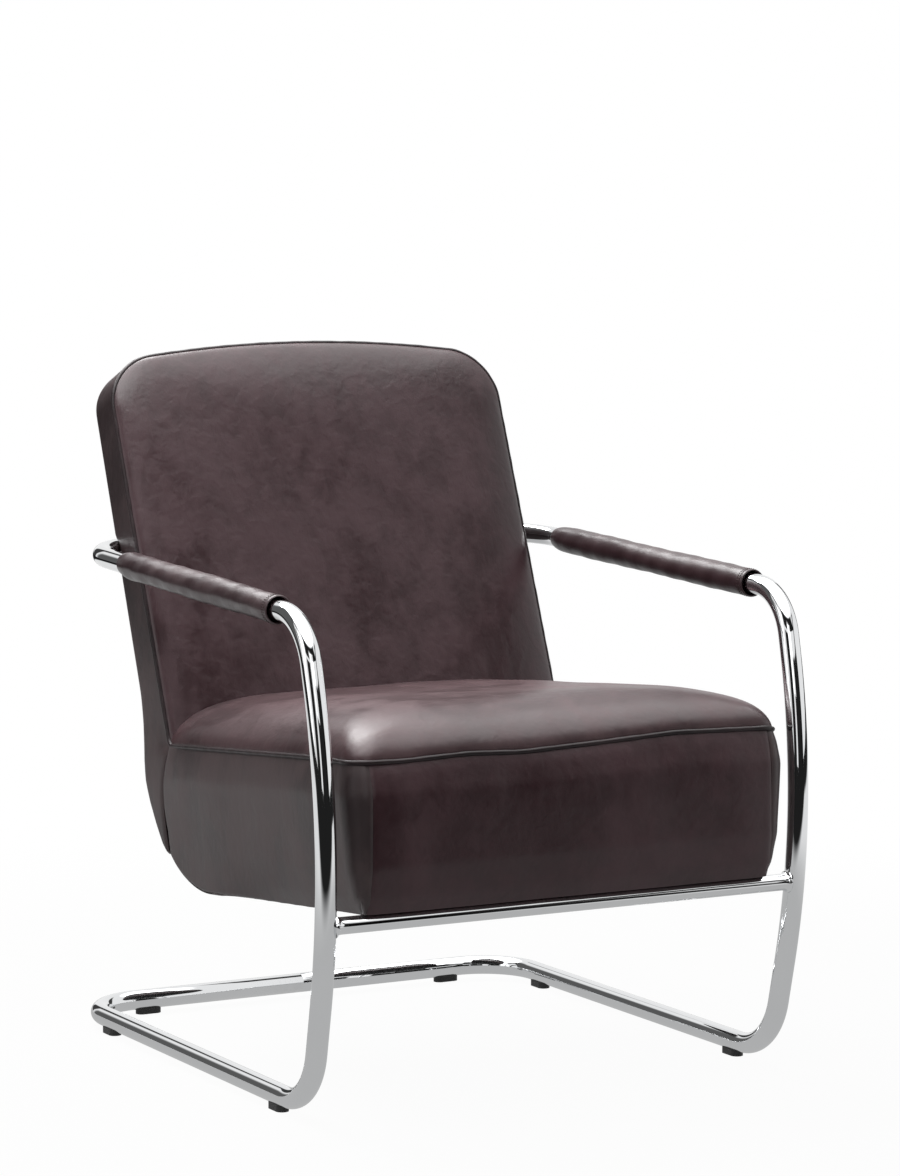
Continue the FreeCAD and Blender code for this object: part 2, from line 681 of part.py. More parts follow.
def inside_boards():
    inset = LEATHER + REAR_PAD
    return side_slab(FAR, inset, SEAT_FOAM, BACK_FOAM, 0).common(front_view(inset))


def spring(x, start, end):
    """Zigzag wire in a plane, along Y from one rail to another."""
    runs = 2 * int((end - start - 2 * CLIP_LENGTH) / SPRING_STEP / 2)
    first = (start + end - (runs - 1) * SPRING_STEP) / 2
    points = [V(x, start, 0), V(x, first, 0)]
    side = 1
    for index in range(runs):
        y = first + index * SPRING_STEP
        if index > 0:
            points.append(V(x + side * SPRING_WIDTH / 2, y, 0))
            side = -side
        if index < runs - 1:
            points.append(V(x + side * SPRING_WIDTH / 2, y, 0))
    points += [V(x, first + (runs - 1) * SPRING_STEP, 0), V(x, end, 0)]
    return rod(open_path(points, [SPRING_BEND] * (len(points) - 2)), SPRING_R)


def clip(x, y):
    """Block over the wire's end, with a slot for the wire that is open at the bottom."""
    half = (CLIP_WIDTH / 2, CLIP_LENGTH / 2)
    block = box((x - half[0], x + half[0]), (y - half[1], y + half[1]), (-SPRING_R, SPRING_R + CLIP_WALL))
    round_part = Part.makeCylinder(SPRING_R, 2 * CLIP_LENGTH, V(x, y - CLIP_LENGTH, 0), V(0, 1, 0))
    lower_part = box((x - SPRING_R, x + SPRING_R), (y - CLIP_LENGTH, y + CLIP_LENGTH), (-SPRING_WIRE_D, 0))
    return block.cut(joined([round_part, lower_part]))


def spring_row(count, start, end, depth, frame):
    """Springs side by side and the clips at their ends, as two compounds."""
    lift = FreeCAD.Placement(V(0, 0, -depth), FreeCAD.Rotation())
    where = frame.multiply(lift)
    places = [(index - (count - 1) / 2) * SPRING_SPACING for index in range(count)]
    springs = [placed(spring(x, start, end), where) for x in places]
    clips = [placed(clip(x, y), where) for x in places for y in (start, end)]
    return Part.makeCompound(springs), Part.makeCompound(clips)


def middle(span):
    return (span[0] + span[1]) / 2


def make_springs():
    seat = spring_row(SEAT_SPRING_COUNT, middle(FRONT_RAIL), middle(REAR_RAIL), SEAT_DECK + SPRING_R, SEAT_FRAME)
    back = spring_row(BACK_SPRING_COUNT, middle(FOOT_RAIL), middle(TOP_RAIL), BACK_DECK + SPRING_R, BACK_FRAME)
    return {
        "seat_springs": seat[0], "seat_spring_clips": seat[1],
        "back_springs": back[0], "back_spring_clips": back[1],
    }


def make_padding(inside, wood, springs):
    nodes = {}
    rear_zone = behind_seam()
    width = (-RAIL_X, RAIL_X)
    seat_felt = seat_box(width, (FRONT_RAIL[0], REAR_RAIL[1]), (-SEAT_DECK, -SEAT_FOAM))
    nodes["seat_felt"] = seat_felt.cut(springs["seat_spring_clips"])
    back_felt = back_box(width, (FOOT_RAIL[0], TOP_RAIL[1]), (-BACK_DECK, -BACK_FOAM))
    nodes["back_felt"] = largest(back_felt.cut(springs["back_spring_clips"]).common(inside_boards()))
    boards = [wood["side_board_left"], wood["side_board_right"]]
    layer = inside.common(back_box(EVERYWHERE, EVERYWHERE, (-BACK_FOAM, 0)))
    back_foam = joined([layer, back_crown(LEATHER)]).common(above_deck(SEAT_FOAM))
    cord = rod(piping_path(), PIPING_D / 2 + LEATHER)
    nodes["back_foam"] = largest(back_foam.cut(boards + [cord]))
    in_front = back_box(EVERYWHERE, EVERYWHERE, (0, FAR))
    inset = LEATHER + WADDING
    border = seat_block(inset).common(above_deck(SEAT_FOAM))
    seat_foam = joined([border, seat_crown(inset)]).common(in_front)
    nodes["seat_foam"] = largest(seat_foam.cut(back_crown(0)))
    low = inside.cut([rear_zone, above_deck(SEAT_FOAM)])
    front_limit = seat_box((-BOARD_X, BOARD_X), (-FAR, FRONT_RAIL_SETBACK), EVERYWHERE)
    nodes["front_pad"] = largest(low.common(front_limit))
    in_foam = back_box(EVERYWHERE, EVERYWHERE, (-BACK_FOAM, FAR)).common(above_deck(SEAT_FOAM))
    rear = inside.common(rear_zone).cut(in_foam)
    core = side_slab(FAR, LEATHER + REAR_PAD, -REACH, -REACH, 0).common(front_view(LEATHER + REAR_PAD))
    holes = back_bolts(BOLT_D / 2, BAR_IN_BACK.z, 0)
    nodes["rear_pad"] = largest(rear.cut([core] + list(wood.values()) + holes))
    flank = rear.common(core)
    for name, span in (("left", (-FAR, -BOARD_X)), ("right", (BOARD_X, FAR))):
        side = box(span, EVERYWHERE, EVERYWHERE)
        nodes["seat_side_pad_" + name] = largest(low.common(side))
        nodes["back_side_pad_" + name] = largest(flank.common(side))
    return nodes


# Fasteners

def make_fasteners(outside):
    nodes = {}
    bore = BOLT_D / 2
    head_seat = BAR_IN_BACK.z - TUBE_R
    heads = back_bolts(BOLT_HEAD_D / 2, head_seat - BOLT_HEAD_H, head_seat)
    shanks = back_bolts(bore, head_seat, -BAR_RAIL_FRONT)
    nodes["back_bolts"] = Part.makeCompound([joined(list(pair)) for pair in zip(heads, shanks)])
    barrels = back_bolts(NUT_BARREL_D / 2, -BAR_RAIL_FRONT - NUT_BARREL_L, -BAR_RAIL_FRONT)
    flanges = back_bolts(NUT_FLANGE_D / 2, -BAR_RAIL_FRONT, -BAR_RAIL_FRONT + NUT_FLANGE_H)
    holes = back_bolts(bore, -BAR_RAIL_REAR, 0)
    nuts = [joined(list(pair)) for pair in zip(barrels, flanges)]
    nodes["back_tee_nuts"] = Part.makeCompound([nut.cut(hole) for nut, hole in zip(nuts, holes)])
    spacers = back_bolts(SPACER_D / 2, BAR_IN_BACK.z, -BAR_RAIL_REAR)
    tubes = [frame_side(sign, TUBE_R) for sign in (-1, 1)]
    through = back_bolts(bore, BAR_IN_BACK.z, 0)
    trimmed = [spacer.cut(tubes + [outside] + through) for spacer in spacers]
    nodes["back_bolt_spacers"] = Part.makeCompound([largest(spacer) for spacer in trimmed])
    below = -SEAT_BORDER - TAB_THICKNESS
    heads = seat_bolts(BOLT_HEAD_D / 2, below - BOLT_HEAD_H, below)
    shanks = seat_bolts(bore, below, -SEAT_BORDER + NUT_BARREL_L)
    nodes["seat_bolts"] = Part.makeCompound([joined(list(pair)) for pair in zip(heads, shanks)])
    barrels = seat_bolts(NUT_BARREL_D / 2, -SEAT_BORDER, -SEAT_BORDER + NUT_BARREL_L)
    holes = seat_bolts(bore, -SEAT_BORDER, -SEAT_BORDER + NUT_BARREL_L)
    nodes["seat_inserts"] = Part.makeCompound([part.cut(hole) for part, hole in zip(barrels, holes)])
    return nodes


def write(nodes):
    """Centre the chair front to rear over the origin and write each node."""
    os.makedirs("parts", exist_ok=True)
    bounds = Part.makeCompound(list(nodes.values())).optimalBoundingBox(False, False)
    shift = V(0, -(bounds.YMin + bounds.YMax) / 2, 0)
    print("width", round(bounds.XLength, 1), "depth", round(bounds.YLength, 1), "height", round(bounds.ZMax, 1))
    print("moved by", round(shift.y, 3), "in Y, lowest point", round(bounds.ZMin, 4))
    for name, shape in nodes.items():
        moved = shape.translated(shift)
        moved.exportStep("parts/" + name + ".step")
        print(name, len(moved.Solids), "solids", round(moved.Volume / 1000, 2), "cm3", moved.isValid())


def main():
    outside = unit(0)
    inside = unit(LEATHER)
    leather = make_leather(outside, inside)
    wood = make_wood()
    springs = make_springs()
    padding = make_padding(inside, wood, springs)
    write({
        **make_frame(), **make_sleeves(), **leather, **wood, **springs, **padding,
        **make_fasteners(outside),
    })


main()
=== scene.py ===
# %% [markdown]
# # A leather lounge chair on a bent steel tube
# The chair is one bent tube that carries an L-shaped upholstered seat and back. The solids of the
# frame are loaded first, and every piece made here sits where they say, in metres, with X across the
# chair, Y to the rear and Z up.

# %% Load the frame
import math
import bmesh
import bpy
import numpy as np
from mathutils import Matrix, Vector


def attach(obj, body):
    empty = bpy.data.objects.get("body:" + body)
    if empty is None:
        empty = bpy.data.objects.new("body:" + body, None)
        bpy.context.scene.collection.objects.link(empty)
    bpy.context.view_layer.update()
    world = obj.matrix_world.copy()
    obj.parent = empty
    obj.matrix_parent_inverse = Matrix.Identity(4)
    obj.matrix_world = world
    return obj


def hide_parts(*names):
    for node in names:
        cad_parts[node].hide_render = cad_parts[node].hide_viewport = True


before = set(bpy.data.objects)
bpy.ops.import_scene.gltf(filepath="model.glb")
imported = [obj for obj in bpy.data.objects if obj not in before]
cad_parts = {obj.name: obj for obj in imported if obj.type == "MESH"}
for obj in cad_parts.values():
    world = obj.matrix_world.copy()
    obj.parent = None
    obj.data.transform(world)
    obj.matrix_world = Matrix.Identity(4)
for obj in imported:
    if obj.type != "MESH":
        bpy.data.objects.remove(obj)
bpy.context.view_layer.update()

# %% [markdown]
# The pieces are drawn in millimetres, as the maker's drawing has them, and become metres when the
# mesh is made. The seat and the back each have a tilted frame of their own: on the seat p runs to
# the rear and q up, on the back s runs up and n to the front. Both start from the piping.

# %% Sizes and the two tilted frames
TUBE_R = 12.5
FLOOR_Z = 18.5
SEAT_FRONT_Y = -299.0
SEAT_FRONT_Z = 424.5
SEAT_TILT = math.radians(5.26)
BACK_LEAN = math.radians(21.8)
SEAT_DEPTH = 515.0
SEAT_HALF = 285.67
NARROWING = 8.5
BACK_HALF = SEAT_HALF - NARROWING
BACK_LENGTH = 522.0
BORDER = 176.8
MIDDLE_OF_CHAIR = np.array([0.0, -76.935, 0.0])


def metres(points):
    return (np.asarray(points, float) + MIDDLE_OF_CHAIR) * 0.001


def stack(x, y, z):
    return np.stack(np.broadcast_arrays(x, y, z), axis=-1)


def on_seat(x, p, q):
    y = SEAT_FRONT_Y + p * math.cos(SEAT_TILT) + q * math.sin(SEAT_TILT)
    z = SEAT_FRONT_Z - p * math.sin(SEAT_TILT) + q * math.cos(SEAT_TILT)
    return stack(x, y, z)


FOOT = on_seat(0.0, SEAT_DEPTH, 0.0)


def on_back(x, s, n):
    y = FOOT[1] + s * math.sin(BACK_LEAN) - n * math.cos(BACK_LEAN)
    z = FOOT[2] + s * math.cos(BACK_LEAN) + n * math.sin(BACK_LEAN)
    return stack(x, y, z)


def in_seat(points):
    """The seat's own x, p and q of points of the chair."""
    y = points[..., 1] - SEAT_FRONT_Y
    z = points[..., 2] - SEAT_FRONT_Z
    p = y * math.cos(SEAT_TILT) - z * math.sin(SEAT_TILT)
    q = y * math.sin(SEAT_TILT) + z * math.cos(SEAT_TILT)
    return points[..., 0], p, q


print("foot of the back at", FOOT.round(1))

# %% [markdown]
# Materials are small networks of nodes. One class writes the sums of a network with Python's own
# signs, and one method adds any other node, so a recipe for leather or chrome reads like a recipe.

# %% A kit for materials
class Number:
    """A number inside a material, with Python's signs for its sums."""

    def __init__(self, recipe, socket):
        self.recipe = recipe
        self.socket = socket

    def sum(self, kind, first, second):
        node = self.recipe.node("Math", {0: first, 1: second}, operation=kind)
        return Number(self.recipe, node.outputs[0])

    def __add__(self, other):
        return self.sum("ADD", self, other)

    def __sub__(self, other):
        return self.sum("SUBTRACT", self, other)

    def __mul__(self, other):
        return self.sum("MULTIPLY", self, other)

    def __rsub__(self, other):
        return self.sum("SUBTRACT", other, self)

    __radd__ = __add__
    __rmul__ = __mul__


class Recipe:
    """The nodes of a material, or of the world."""

    def __init__(self, name, owner=None):
        self.material = owner or bpy.data.materials.new(name)
        self.material.use_nodes = True
        self.tree = self.material.node_tree
        self.tree.nodes.clear()

    def node(self, kind, inputs=None, **settings):
        node = self.tree.nodes.new("ShaderNode" + kind)
        for key, value in settings.items():
            setattr(node, key, value)
        for key, value in (inputs or {}).items():
            if isinstance(value, Number):
                value = value.socket
            if isinstance(value, bpy.types.NodeSocket):
                self.tree.links.new(value, node.inputs[key])
            else:
                node.inputs[key].default_value = value
        return node

    def place(self, scale=(1.0, 1.0, 1.0)):
        where = self.node("TexCoord").outputs["Object"]
        return self.node("Mapping", {"Vector": where, "Scale": scale}).outputs[0]

    def noise(self, where, scale, detail=3.0, roughness=0.5, distortion=0.0):
        node = self.node("TexNoise", {
            "Vector": where, "Scale": scale, "Detail": detail, "Roughness": roughness,
            "Distortion": distortion,
        })
        return Number(self, node.outputs["Fac"])

    def between(self, value, low, high, start=0.0, end=1.0):
        node = self.node("MapRange", {
            "Value": value, "From Min": low, "From Max": high, "To Min": start, "To Max": end,
        }, interpolation_type="SMOOTHSTEP")
        return Number(self, node.outputs[0])

    def blend(self, share, first, second):
        node = self.node("Mix", {0: share, 6: first, 7: second}, data_type="RGBA")
        return node.outputs[2]

    def bump(self, height, distance, strength=1.0, before=None):
        inputs = {"Height": height, "Distance": distance, "Strength": strength}
        if before is not None:
            inputs["Normal"] = before
        return self.node("Bump", inputs).outputs[0]

    def finish(self, inputs):
        shader = self.node("BsdfPrincipled", inputs)
        self.node("OutputMaterial", {"Surface": shader.outputs[0]})
        return self.material


print("material kit ready")

# %% [markdown]
# The leather is a dark red-brown hide with a soft gloss. What the eye reads as leather is at
# several sizes at once: cloudy patches a hand wide, pull marks where it is stretched round a
# corner, and pores under a millimetre. Each is a noise of its own, and the pores and pull marks
# also go into the bump. The sides are pulled downwards, so their marks run down.

# %% Leather
def leather(name, dark, light, marks, marks_share, roughness, gloss=0.5, coat_and_painted_shade=None):
    """A hide. Given two heights in metres, it is glossier below them, and its colour is paler below and
    darker above as painted sheen and shade.
    """
    recipe = Recipe(name)
    where = recipe.place()
    pulled = recipe.place(scale=marks)
    cloud = recipe.between(recipe.noise(where, 6.5, 5.0, 0.55, 0.6), 0.32, 0.68)
    mottle = recipe.between(recipe.noise(where, 34.0, 4.0, 0.6, 0.3), 0.3, 0.7)
    streak = recipe.between(recipe.noise(pulled, 27.0, 3.5, 0.55, 0.4), 0.3, 0.7)
    grain = recipe.noise(where, 620.0, 2.0, 0.6)
    cells = recipe.node("TexVoronoi", {"Vector": where, "Scale": 760.0}, feature="F1")
    pore = recipe.between(Number(recipe, cells.outputs["Distance"]), 0.05, 0.55)
    share = cloud * 0.5 + mottle * 0.22 + streak * (marks_share * 0.4) + grain * 0.12
    dull = recipe.between(cloud * 0.45 + mottle * 0.3 + streak * 0.25, 0.1, 0.9, *roughness)
    shine = recipe.between(cloud, 0.0, 1.0, 0.04, 0.16)
    if coat_and_painted_shade:
        high, low = coat_and_painted_shade
        height = Number(recipe, recipe.node("SeparateXYZ", {0: where}).outputs["Z"])
        shine = shine + recipe.between(height, low, high, 0.6, 0.0)
        # Painted light: the colour darkens from the lower height upwards and stays paler below, painted
        # shade above and painted sheen below.
        share = share - recipe.between(height, low, high + 0.1, 0.0, 0.45)
    colour = recipe.blend(recipe.between(share, 0.12, 0.95), (*dark, 1.0), (*light, 1.0))
    fine = recipe.bump(pore * 0.6 + grain * 0.5, 0.0001, 0.4)
    dent = recipe.noise(where, 70.0, 1.2, 0.5, 0.5)
    soft = recipe.bump(streak * (marks_share * 0.35) + mottle * 0.25 + dent * 0.8, 0.0013, 0.4, fine)
    return recipe.finish({
        "Base Color": colour, "Roughness": dull, "Normal": soft, "Specular IOR Level": gloss,
        "Coat Weight": shine, "Coat Roughness": 0.5 if coat_and_painted_shade else 0.26,
    })


seat_leather = leather(
    "leather_seat", (0.036, 0.0130, 0.0158), (0.074, 0.0350, 0.0395),
    (1.0, 0.5, 1.0), 0.45, (0.33, 0.48))
back_leather = leather(
    "leather_back", (0.033, 0.0098, 0.0130), (0.058, 0.0235, 0.0290),
    (1.8, 1.8, 0.6), 0.7, (0.28, 0.44))
# The front border's copy is darker than the seat's: painted shade for the face that is turned away from the
# lamps.
front_leather = leather(
    "leather_front", (0.031, 0.0080, 0.0115), (0.052, 0.0180, 0.0235),
    (1.4, 1.4, 0.6), 0.5, (0.34, 0.48))
# The side's copy is paler below 0.36 m and darker up to 0.7 m, painted sheen and painted shade, and its coat
# is glossier below.
side_leather = leather(
    "leather_side", (0.018, 0.0080, 0.0092), (0.048, 0.0270, 0.0282),
    (1.6, 1.6, 0.3), 0.9, (0.42, 0.56), 0.26, (0.60, 0.36))
sleeve_leather = leather(
    "leather_sleeve", (0.028, 0.012, 0.0145), (0.050, 0.026, 0.029),
    (1.0, 0.3, 1.0), 0.5, (0.3, 0.44))
piping_leather = leather(
    "leather_piping", (0.009, 0.0040, 0.0050), (0.022, 0.0105, 0.0125),
    (1.0, 1.0, 1.0), 0.4, (0.34, 0.46), 0.3)
print("six leathers mixed")

# %% [markdown]
# The tube is chrome-plated steel: a mirror, so nearly all of its look is what stands round it. The
# plating is very slightly uneven from polishing, which shows as faint wavering in the reflections.

# %% Chrome, plastic and cloth
def chrome(name, colour=(0.82, 0.83, 0.84), rough=(0.025, 0.06)):
    recipe = Recipe(name)
    where = recipe.place()
    haze = recipe.noise(where, 14.0, 4.0)
    scuff = recipe.noise(recipe.place(scale=(1.0, 1.0, 0.2)), 240.0, 3.0)
    tone = recipe.blend(haze, (*colour, 1.0), (*[0.94 * c for c in colour], 1.0))
    dull = recipe.between(haze * 0.6 + scuff * 0.4, 0.3, 0.75, *rough)
    normal = recipe.bump(recipe.noise(where, 30.0, 2.0), 0.0002, 0.06)
    return recipe.finish({"Base Color": tone, "Metallic": 1.0, "Roughness": dull, "Normal": normal})


def plastic(name):
    recipe = Recipe(name)
    where = recipe.place()
    grain = recipe.noise(where, 900.0, 2.0)
    wear = recipe.between(recipe.noise(where, 60.0, 4.0), 0.4, 0.7)
    colour = recipe.blend(wear, (0.016, 0.016, 0.017, 1.0), (0.030, 0.030, 0.031, 1.0))
    normal = recipe.bump(grain, 0.0001, 0.35)
    dull = recipe.between(wear, 0.0, 1.0, 0.38, 0.5)
    return recipe.finish({"Base Color": colour, "Roughness": dull, "Normal": normal})


def woven(name):
    recipe = Recipe(name)
    across = recipe.node("TexWave", {
        "Vector": recipe.place(), "Scale": 260.0, "Distortion": 0.4, "Detail": 1.0,
    }, bands_direction="X").outputs["Fac"]
    along = recipe.node("TexWave", {
        "Vector": recipe.place(), "Scale": 260.0, "Distortion": 0.4, "Detail": 1.0,
    }, bands_direction="Y").outputs["Fac"]
    weave = Number(recipe, across) * 0.5 + Number(recipe, along) * 0.5
    lint = recipe.noise(recipe.place(), 40.0, 5.0)
    colour = recipe.blend(weave * 0.7 + lint * 0.3, (0.009, 0.009, 0.010, 1.0), (0.028, 0.027, 0.028, 1.0))
    dull = recipe.between(lint, 0.3, 0.7, 0.8, 0.95)
    normal = recipe.bump(weave, 0.0003, 0.6)
    return recipe.finish({"Base Color": colour, "Roughness": dull, "Normal": normal, "Sheen Weight": 0.15})


chrome_plate = chrome("chrome_plate")
glide_plastic = plastic("black_plastic")
bottom_weave = woven("black_cloth")
print("chrome, plastic and cloth mixed")

# %% [markdown]
# Inside the upholstery are wood, springs, felt and their fasteners. They are hidden in a whole
# chair, but someone who takes it apart sees them, so they get their own finishes too.

# %% Wood, felt and inner steel
def hardwood(name):
    recipe = Recipe(name)
    along = recipe.place(scale=(0.35, 6.0, 6.0))
    rings = recipe.noise(along, 9.0, 6.0, 0.6, 1.2)
    fibre = recipe.noise(recipe.place(scale=(0.2, 9.0, 9.0)), 60.0, 3.0)
    colour = recipe.blend(
        recipe.between(rings * 0.7 + fibre * 0.3, 0.3, 0.7),
        (0.36, 0.21, 0.105, 1.0), (0.62, 0.42, 0.24, 1.0))
    normal = recipe.bump(fibre, 0.0003, 0.4)
    dull = recipe.between(rings, 0.2, 0.8, 0.5, 0.7)
    return recipe.finish({"Base Color": colour, "Roughness": dull, "Normal": normal})


def felt(name):
    recipe = Recipe(name)
    fibre = recipe.noise(recipe.place(), 320.0, 6.0, 0.7, 1.5)
    lump = recipe.noise(recipe.place(), 26.0, 3.0)
    colour = recipe.blend(fibre * 0.6 + lump * 0.4, (0.16, 0.15, 0.14, 1.0), (0.40, 0.38, 0.35, 1.0))
    normal = recipe.bump(fibre, 0.0008, 0.6)
    dull = recipe.between(lump, 0.2, 0.8, 0.9, 1.0)
    return recipe.finish({"Base Color": colour, "Roughness": dull, "Normal": normal, "Sheen Weight": 0.2})


frame_wood = hardwood("beech_wood")
grey_felt = felt("grey_felt")
dark_steel = chrome("spring_steel", (0.30, 0.30, 0.31), (0.28, 0.42))
zinc_steel = chrome("zinc_steel", (0.62, 0.62, 0.60), (0.22, 0.36))
print("inner materials mixed")

# %% [markdown]
# Every piece is made from grids of points. A grid becomes faces, grids that meet are welded, and
# the mesh then rides on the one body of the chair. A skin gets its thickness after its faces have
# been turned outwards.

# %% Making meshes
WELD = 0.02
SLIVER = 0.000005


def grid_faces(rows, columns, wrap=False):
    faces = []
    for row in range(rows - 1):
        for column in range(columns if wrap else columns - 1):
            after = (column + 1) % columns
            a = row * columns
            faces.append((a + column, a + after, a + columns + after, a + columns + column))
    return faces


def sheet_of(points):
    """A grid of points with its faces."""
    return points, grid_faces(*points.shape[:2])


def welded(name, parts):
    """A mesh from (points, faces) parts in millimetres, its doubles merged, its faces outwards."""
    points = []
    faces = []
    for part_points, part_faces in parts:
        start = len(points)
        points.extend(metres(part_points).reshape(-1, 3).tolist())
        faces.extend([tuple(start + index for index in face) for face in part_faces])
    mesh = bpy.data.meshes.new(name)
    mesh.from_pydata(points, [], faces)
    work = bmesh.new()
    work.from_mesh(mesh)
    bmesh.ops.remove_doubles(work, verts=work.verts, dist=WELD * 0.001)
    bmesh.ops.dissolve_degenerate(work, edges=work.edges, dist=SLIVER)
    bmesh.ops.recalc_face_normals(work, faces=work.faces)
    middle = sum((vert.co for vert in work.verts), Vector()) / len(work.verts)
    outwards = 0.0
    for face in work.faces:
        outwards += face.calc_area() * face.normal.dot(face.calc_center_median() - middle)
    if outwards < 0:
        bmesh.ops.reverse_faces(work, faces=work.faces)
    for face in work.faces:
        face.smooth = True
    work.to_mesh(mesh)
    work.free()
    return mesh


def finished(source):
    """The same object with its modifiers made part of its mesh."""
    bpy.context.view_layer.update()
    look = bpy.context.evaluated_depsgraph_get()
    mesh = bpy.data.meshes.new_from_object(source.evaluated_get(look))
    source.modifiers.clear()
    source.data = mesh
    return source


def piece(name, parts, material, stands_for=(), wall=0.0):
    item = bpy.data.objects.new(name, welded(name, parts))
    bpy.context.scene.collection.objects.link(item)
    if wall:
        skin = item.modifiers.new("wall", "SOLIDIFY")
        skin.thickness = wall * 0.001
        skin.offset = -1.0
        finished(item)
    item.data.materials.clear()
    item.data.materials.append(material)
    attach(item, "root")
    if stands_for:
        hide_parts(*stands_for)
    print(name, len(item.data.polygons), "faces")
    return item


print("mesh helpers ready")

# %% [markdown]
# A bent tube is drawn as a maker draws it: the corners of its centre line and the radius of each
# bend. Rings are then set along the line. A curve's own bevel could do this too, but rings made
# here can change their size on the way, as the weld fillets and the piping need.

# %% Lines and tubes
def rounded(points, radii, step=4.0):
    """A line of straight runs and tangent arcs, as points."""
    points = [np.array(point, float) for point in points]
    line = [points[0]]
    for index, radius in enumerate(radii, start=1):
        before, corner, after = points[index - 1:index + 2]
        inward = (corner - before) / np.linalg.norm(corner - before)
        outward = (after - corner) / np.linalg.norm(after - corner)
        turn = math.acos(np.clip(inward @ outward, -1, 1))
        setback = radius * math.tan(turn / 2)
        to_centre = (outward - inward) / np.linalg.norm(outward - inward)
        centre = corner + to_centre * radius / math.cos(turn / 2)
        first = corner - inward * setback - centre
        count = max(6, math.ceil(turn * radius / step))
        for angle in np.linspace(0, turn, count + 1):
            line.append(centre + first * math.cos(angle) + inward * radius * math.sin(angle))
    line.append(points[-1])
    return np.array(line)


def even(line, step):
    """The same line with its points at even steps."""
    runs = np.linalg.norm(np.diff(line, axis=0), axis=1)
    along = np.concatenate([[0], np.cumsum(runs)])
    count = max(2, round(along[-1] / step))
    at = np.linspace(0, along[-1], count + 1)
    return np.stack([np.interp(at, along, line[:, axis]) for axis in range(3)], axis=1)


def tube(line, radius, sides=48, closed=False):
    """Rings round a line, each turned as little as possible from the one before."""
    line = np.asarray(line, float)
    count = len(line)
    if closed:
        tangents = np.roll(line, -1, axis=0) - np.roll(line, 1, axis=0)
    else:
        tangents = np.gradient(line, axis=0)
    tangents /= np.linalg.norm(tangents, axis=1)[:, None]
    radii = np.broadcast_to(radius, (count,))
    across = np.cross(tangents[0], [0.0, 0.0, 1.0])
    if np.linalg.norm(across) < 0.1:
        across = np.cross(tangents[0], [1.0, 0.0, 0.0])
    rings = []
    turns = np.arange(sides) * 2 * math.pi / sides
    for here, tangent, size in zip(line, tangents, radii):
        across = across - tangent * (across @ tangent)
        across /= np.linalg.norm(across)
        up = np.cross(tangent, across)
        rings.append(here + size * (np.cos(turns)[:, None] * across + np.sin(turns)[:, None] * up))
    points = np.array(rings).reshape(-1, 3)
    faces = grid_faces(count, sides, wrap=True)
    last = (count - 1) * sides
    if closed:
        shift = int(np.argmin(np.linalg.norm(rings[0] - rings[-1][0], axis=1)))
        for side in range(sides):
            a, b = last + side, last + (side + 1) % sides
            c, d = (side + 1 + shift) % sides, (side + shift) % sides
            faces.append((a, b, c, d))
    else:
        faces.append(tuple(range(sides)))
        faces.append(tuple(last + side for side in reversed(range(sides))))
    return points, faces


print("line and tube helpers ready")

# %% [markdown]
# The frame is one tube in two halves that meet at the middle of the rear floor bar and of the back
# bar. A mirror finish shows every facet, so the tube is swept here with 64 sides and fine arcs in
# place of the coarser solid, along the same corner points and bend radii.

# %% Chrome tube
LEG_FOOT_Y = -241.0
KNEE_Z = 322.0
ARM_FRONT_Z = 582.6
LOWER_LEG_LEAN = math.radians(12.95)
UPPER_LEG_LEAN = math.radians(13.5)
ARM_SLOPE = math.radians(2.3)
KNEE_Y = LEG_FOOT_Y - (KNEE_Z - FLOOR_Z) * math.tan(LOWER_LEG_LEAN)
LEG_TOP_Y = KNEE_Y + (ARM_FRONT_Z - KNEE_Z) * math.tan(UPPER_LEG_LEAN)
REAR_BAR_Y = 414.7
BACK_BAR_Y = 402.0
FLOOR_WIDTH = 623.6
SPLAY = 17.8
BENDS = [75.0, 83.5, 818.0, 71.5, 109.0]


def arm_z(y):
    return ARM_FRONT_Z + (y - LEG_TOP_Y) * math.tan(ARM_SLOPE)


def frame_half(z):
    return (FLOOR_WIDTH + SPLAY * (z - FLOOR_Z) / (ARM_FRONT_Z - FLOOR_Z)) / 2


def frame_line(side):
    floor, arm = side * frame_half(FLOOR_Z), side * frame_half(ARM_FRONT_Z)
    corners = [
        (0, REAR_BAR_Y, FLOOR_Z), (floor, REAR_BAR_Y, FLOOR_Z), (floor, LEG_FOOT_Y, FLOOR_Z),
        (side * frame_half(KNEE_Z), KNEE_Y, KNEE_Z), (arm, LEG_TOP_Y, ARM_FRONT_Z),
        (arm, BACK_BAR_Y, arm_z(BACK_BAR_Y)), (0, BACK_BAR_Y, arm_z(BACK_BAR_Y)),
    ]
    return rounded(corners, BENDS, 2.5)


frame_lines = {}
for name, side in (("left", -1), ("right", 1)):
    frame_lines[name] = frame_line(side)
    piece("tube_" + name, [tube(frame_lines[name], TUBE_R, 64)], chrome_plate,
          ["frame_tube_" + name])

# %% [markdown]
# The crossbar is a thinner tube between the legs. It was welded before plating, so each end flares
# into the leg in a small smooth fillet rather than a sharp corner.

# %% Crossbar with its weld fillets
CROSSBAR_Z = 235.5
CROSSBAR_R = 10.0
INTO_LEG = 1.5
PLAIN_FROM = 20
PLAIN_RINGS = 20
FLARE_AT = np.array([0.0, 1.0, 2.0, 3.2, 4.6, 6.5, 9.0])
FLARE = np.array([4.0, 2.6, 1.6, 0.9, 0.4, 0.1, 0.0])

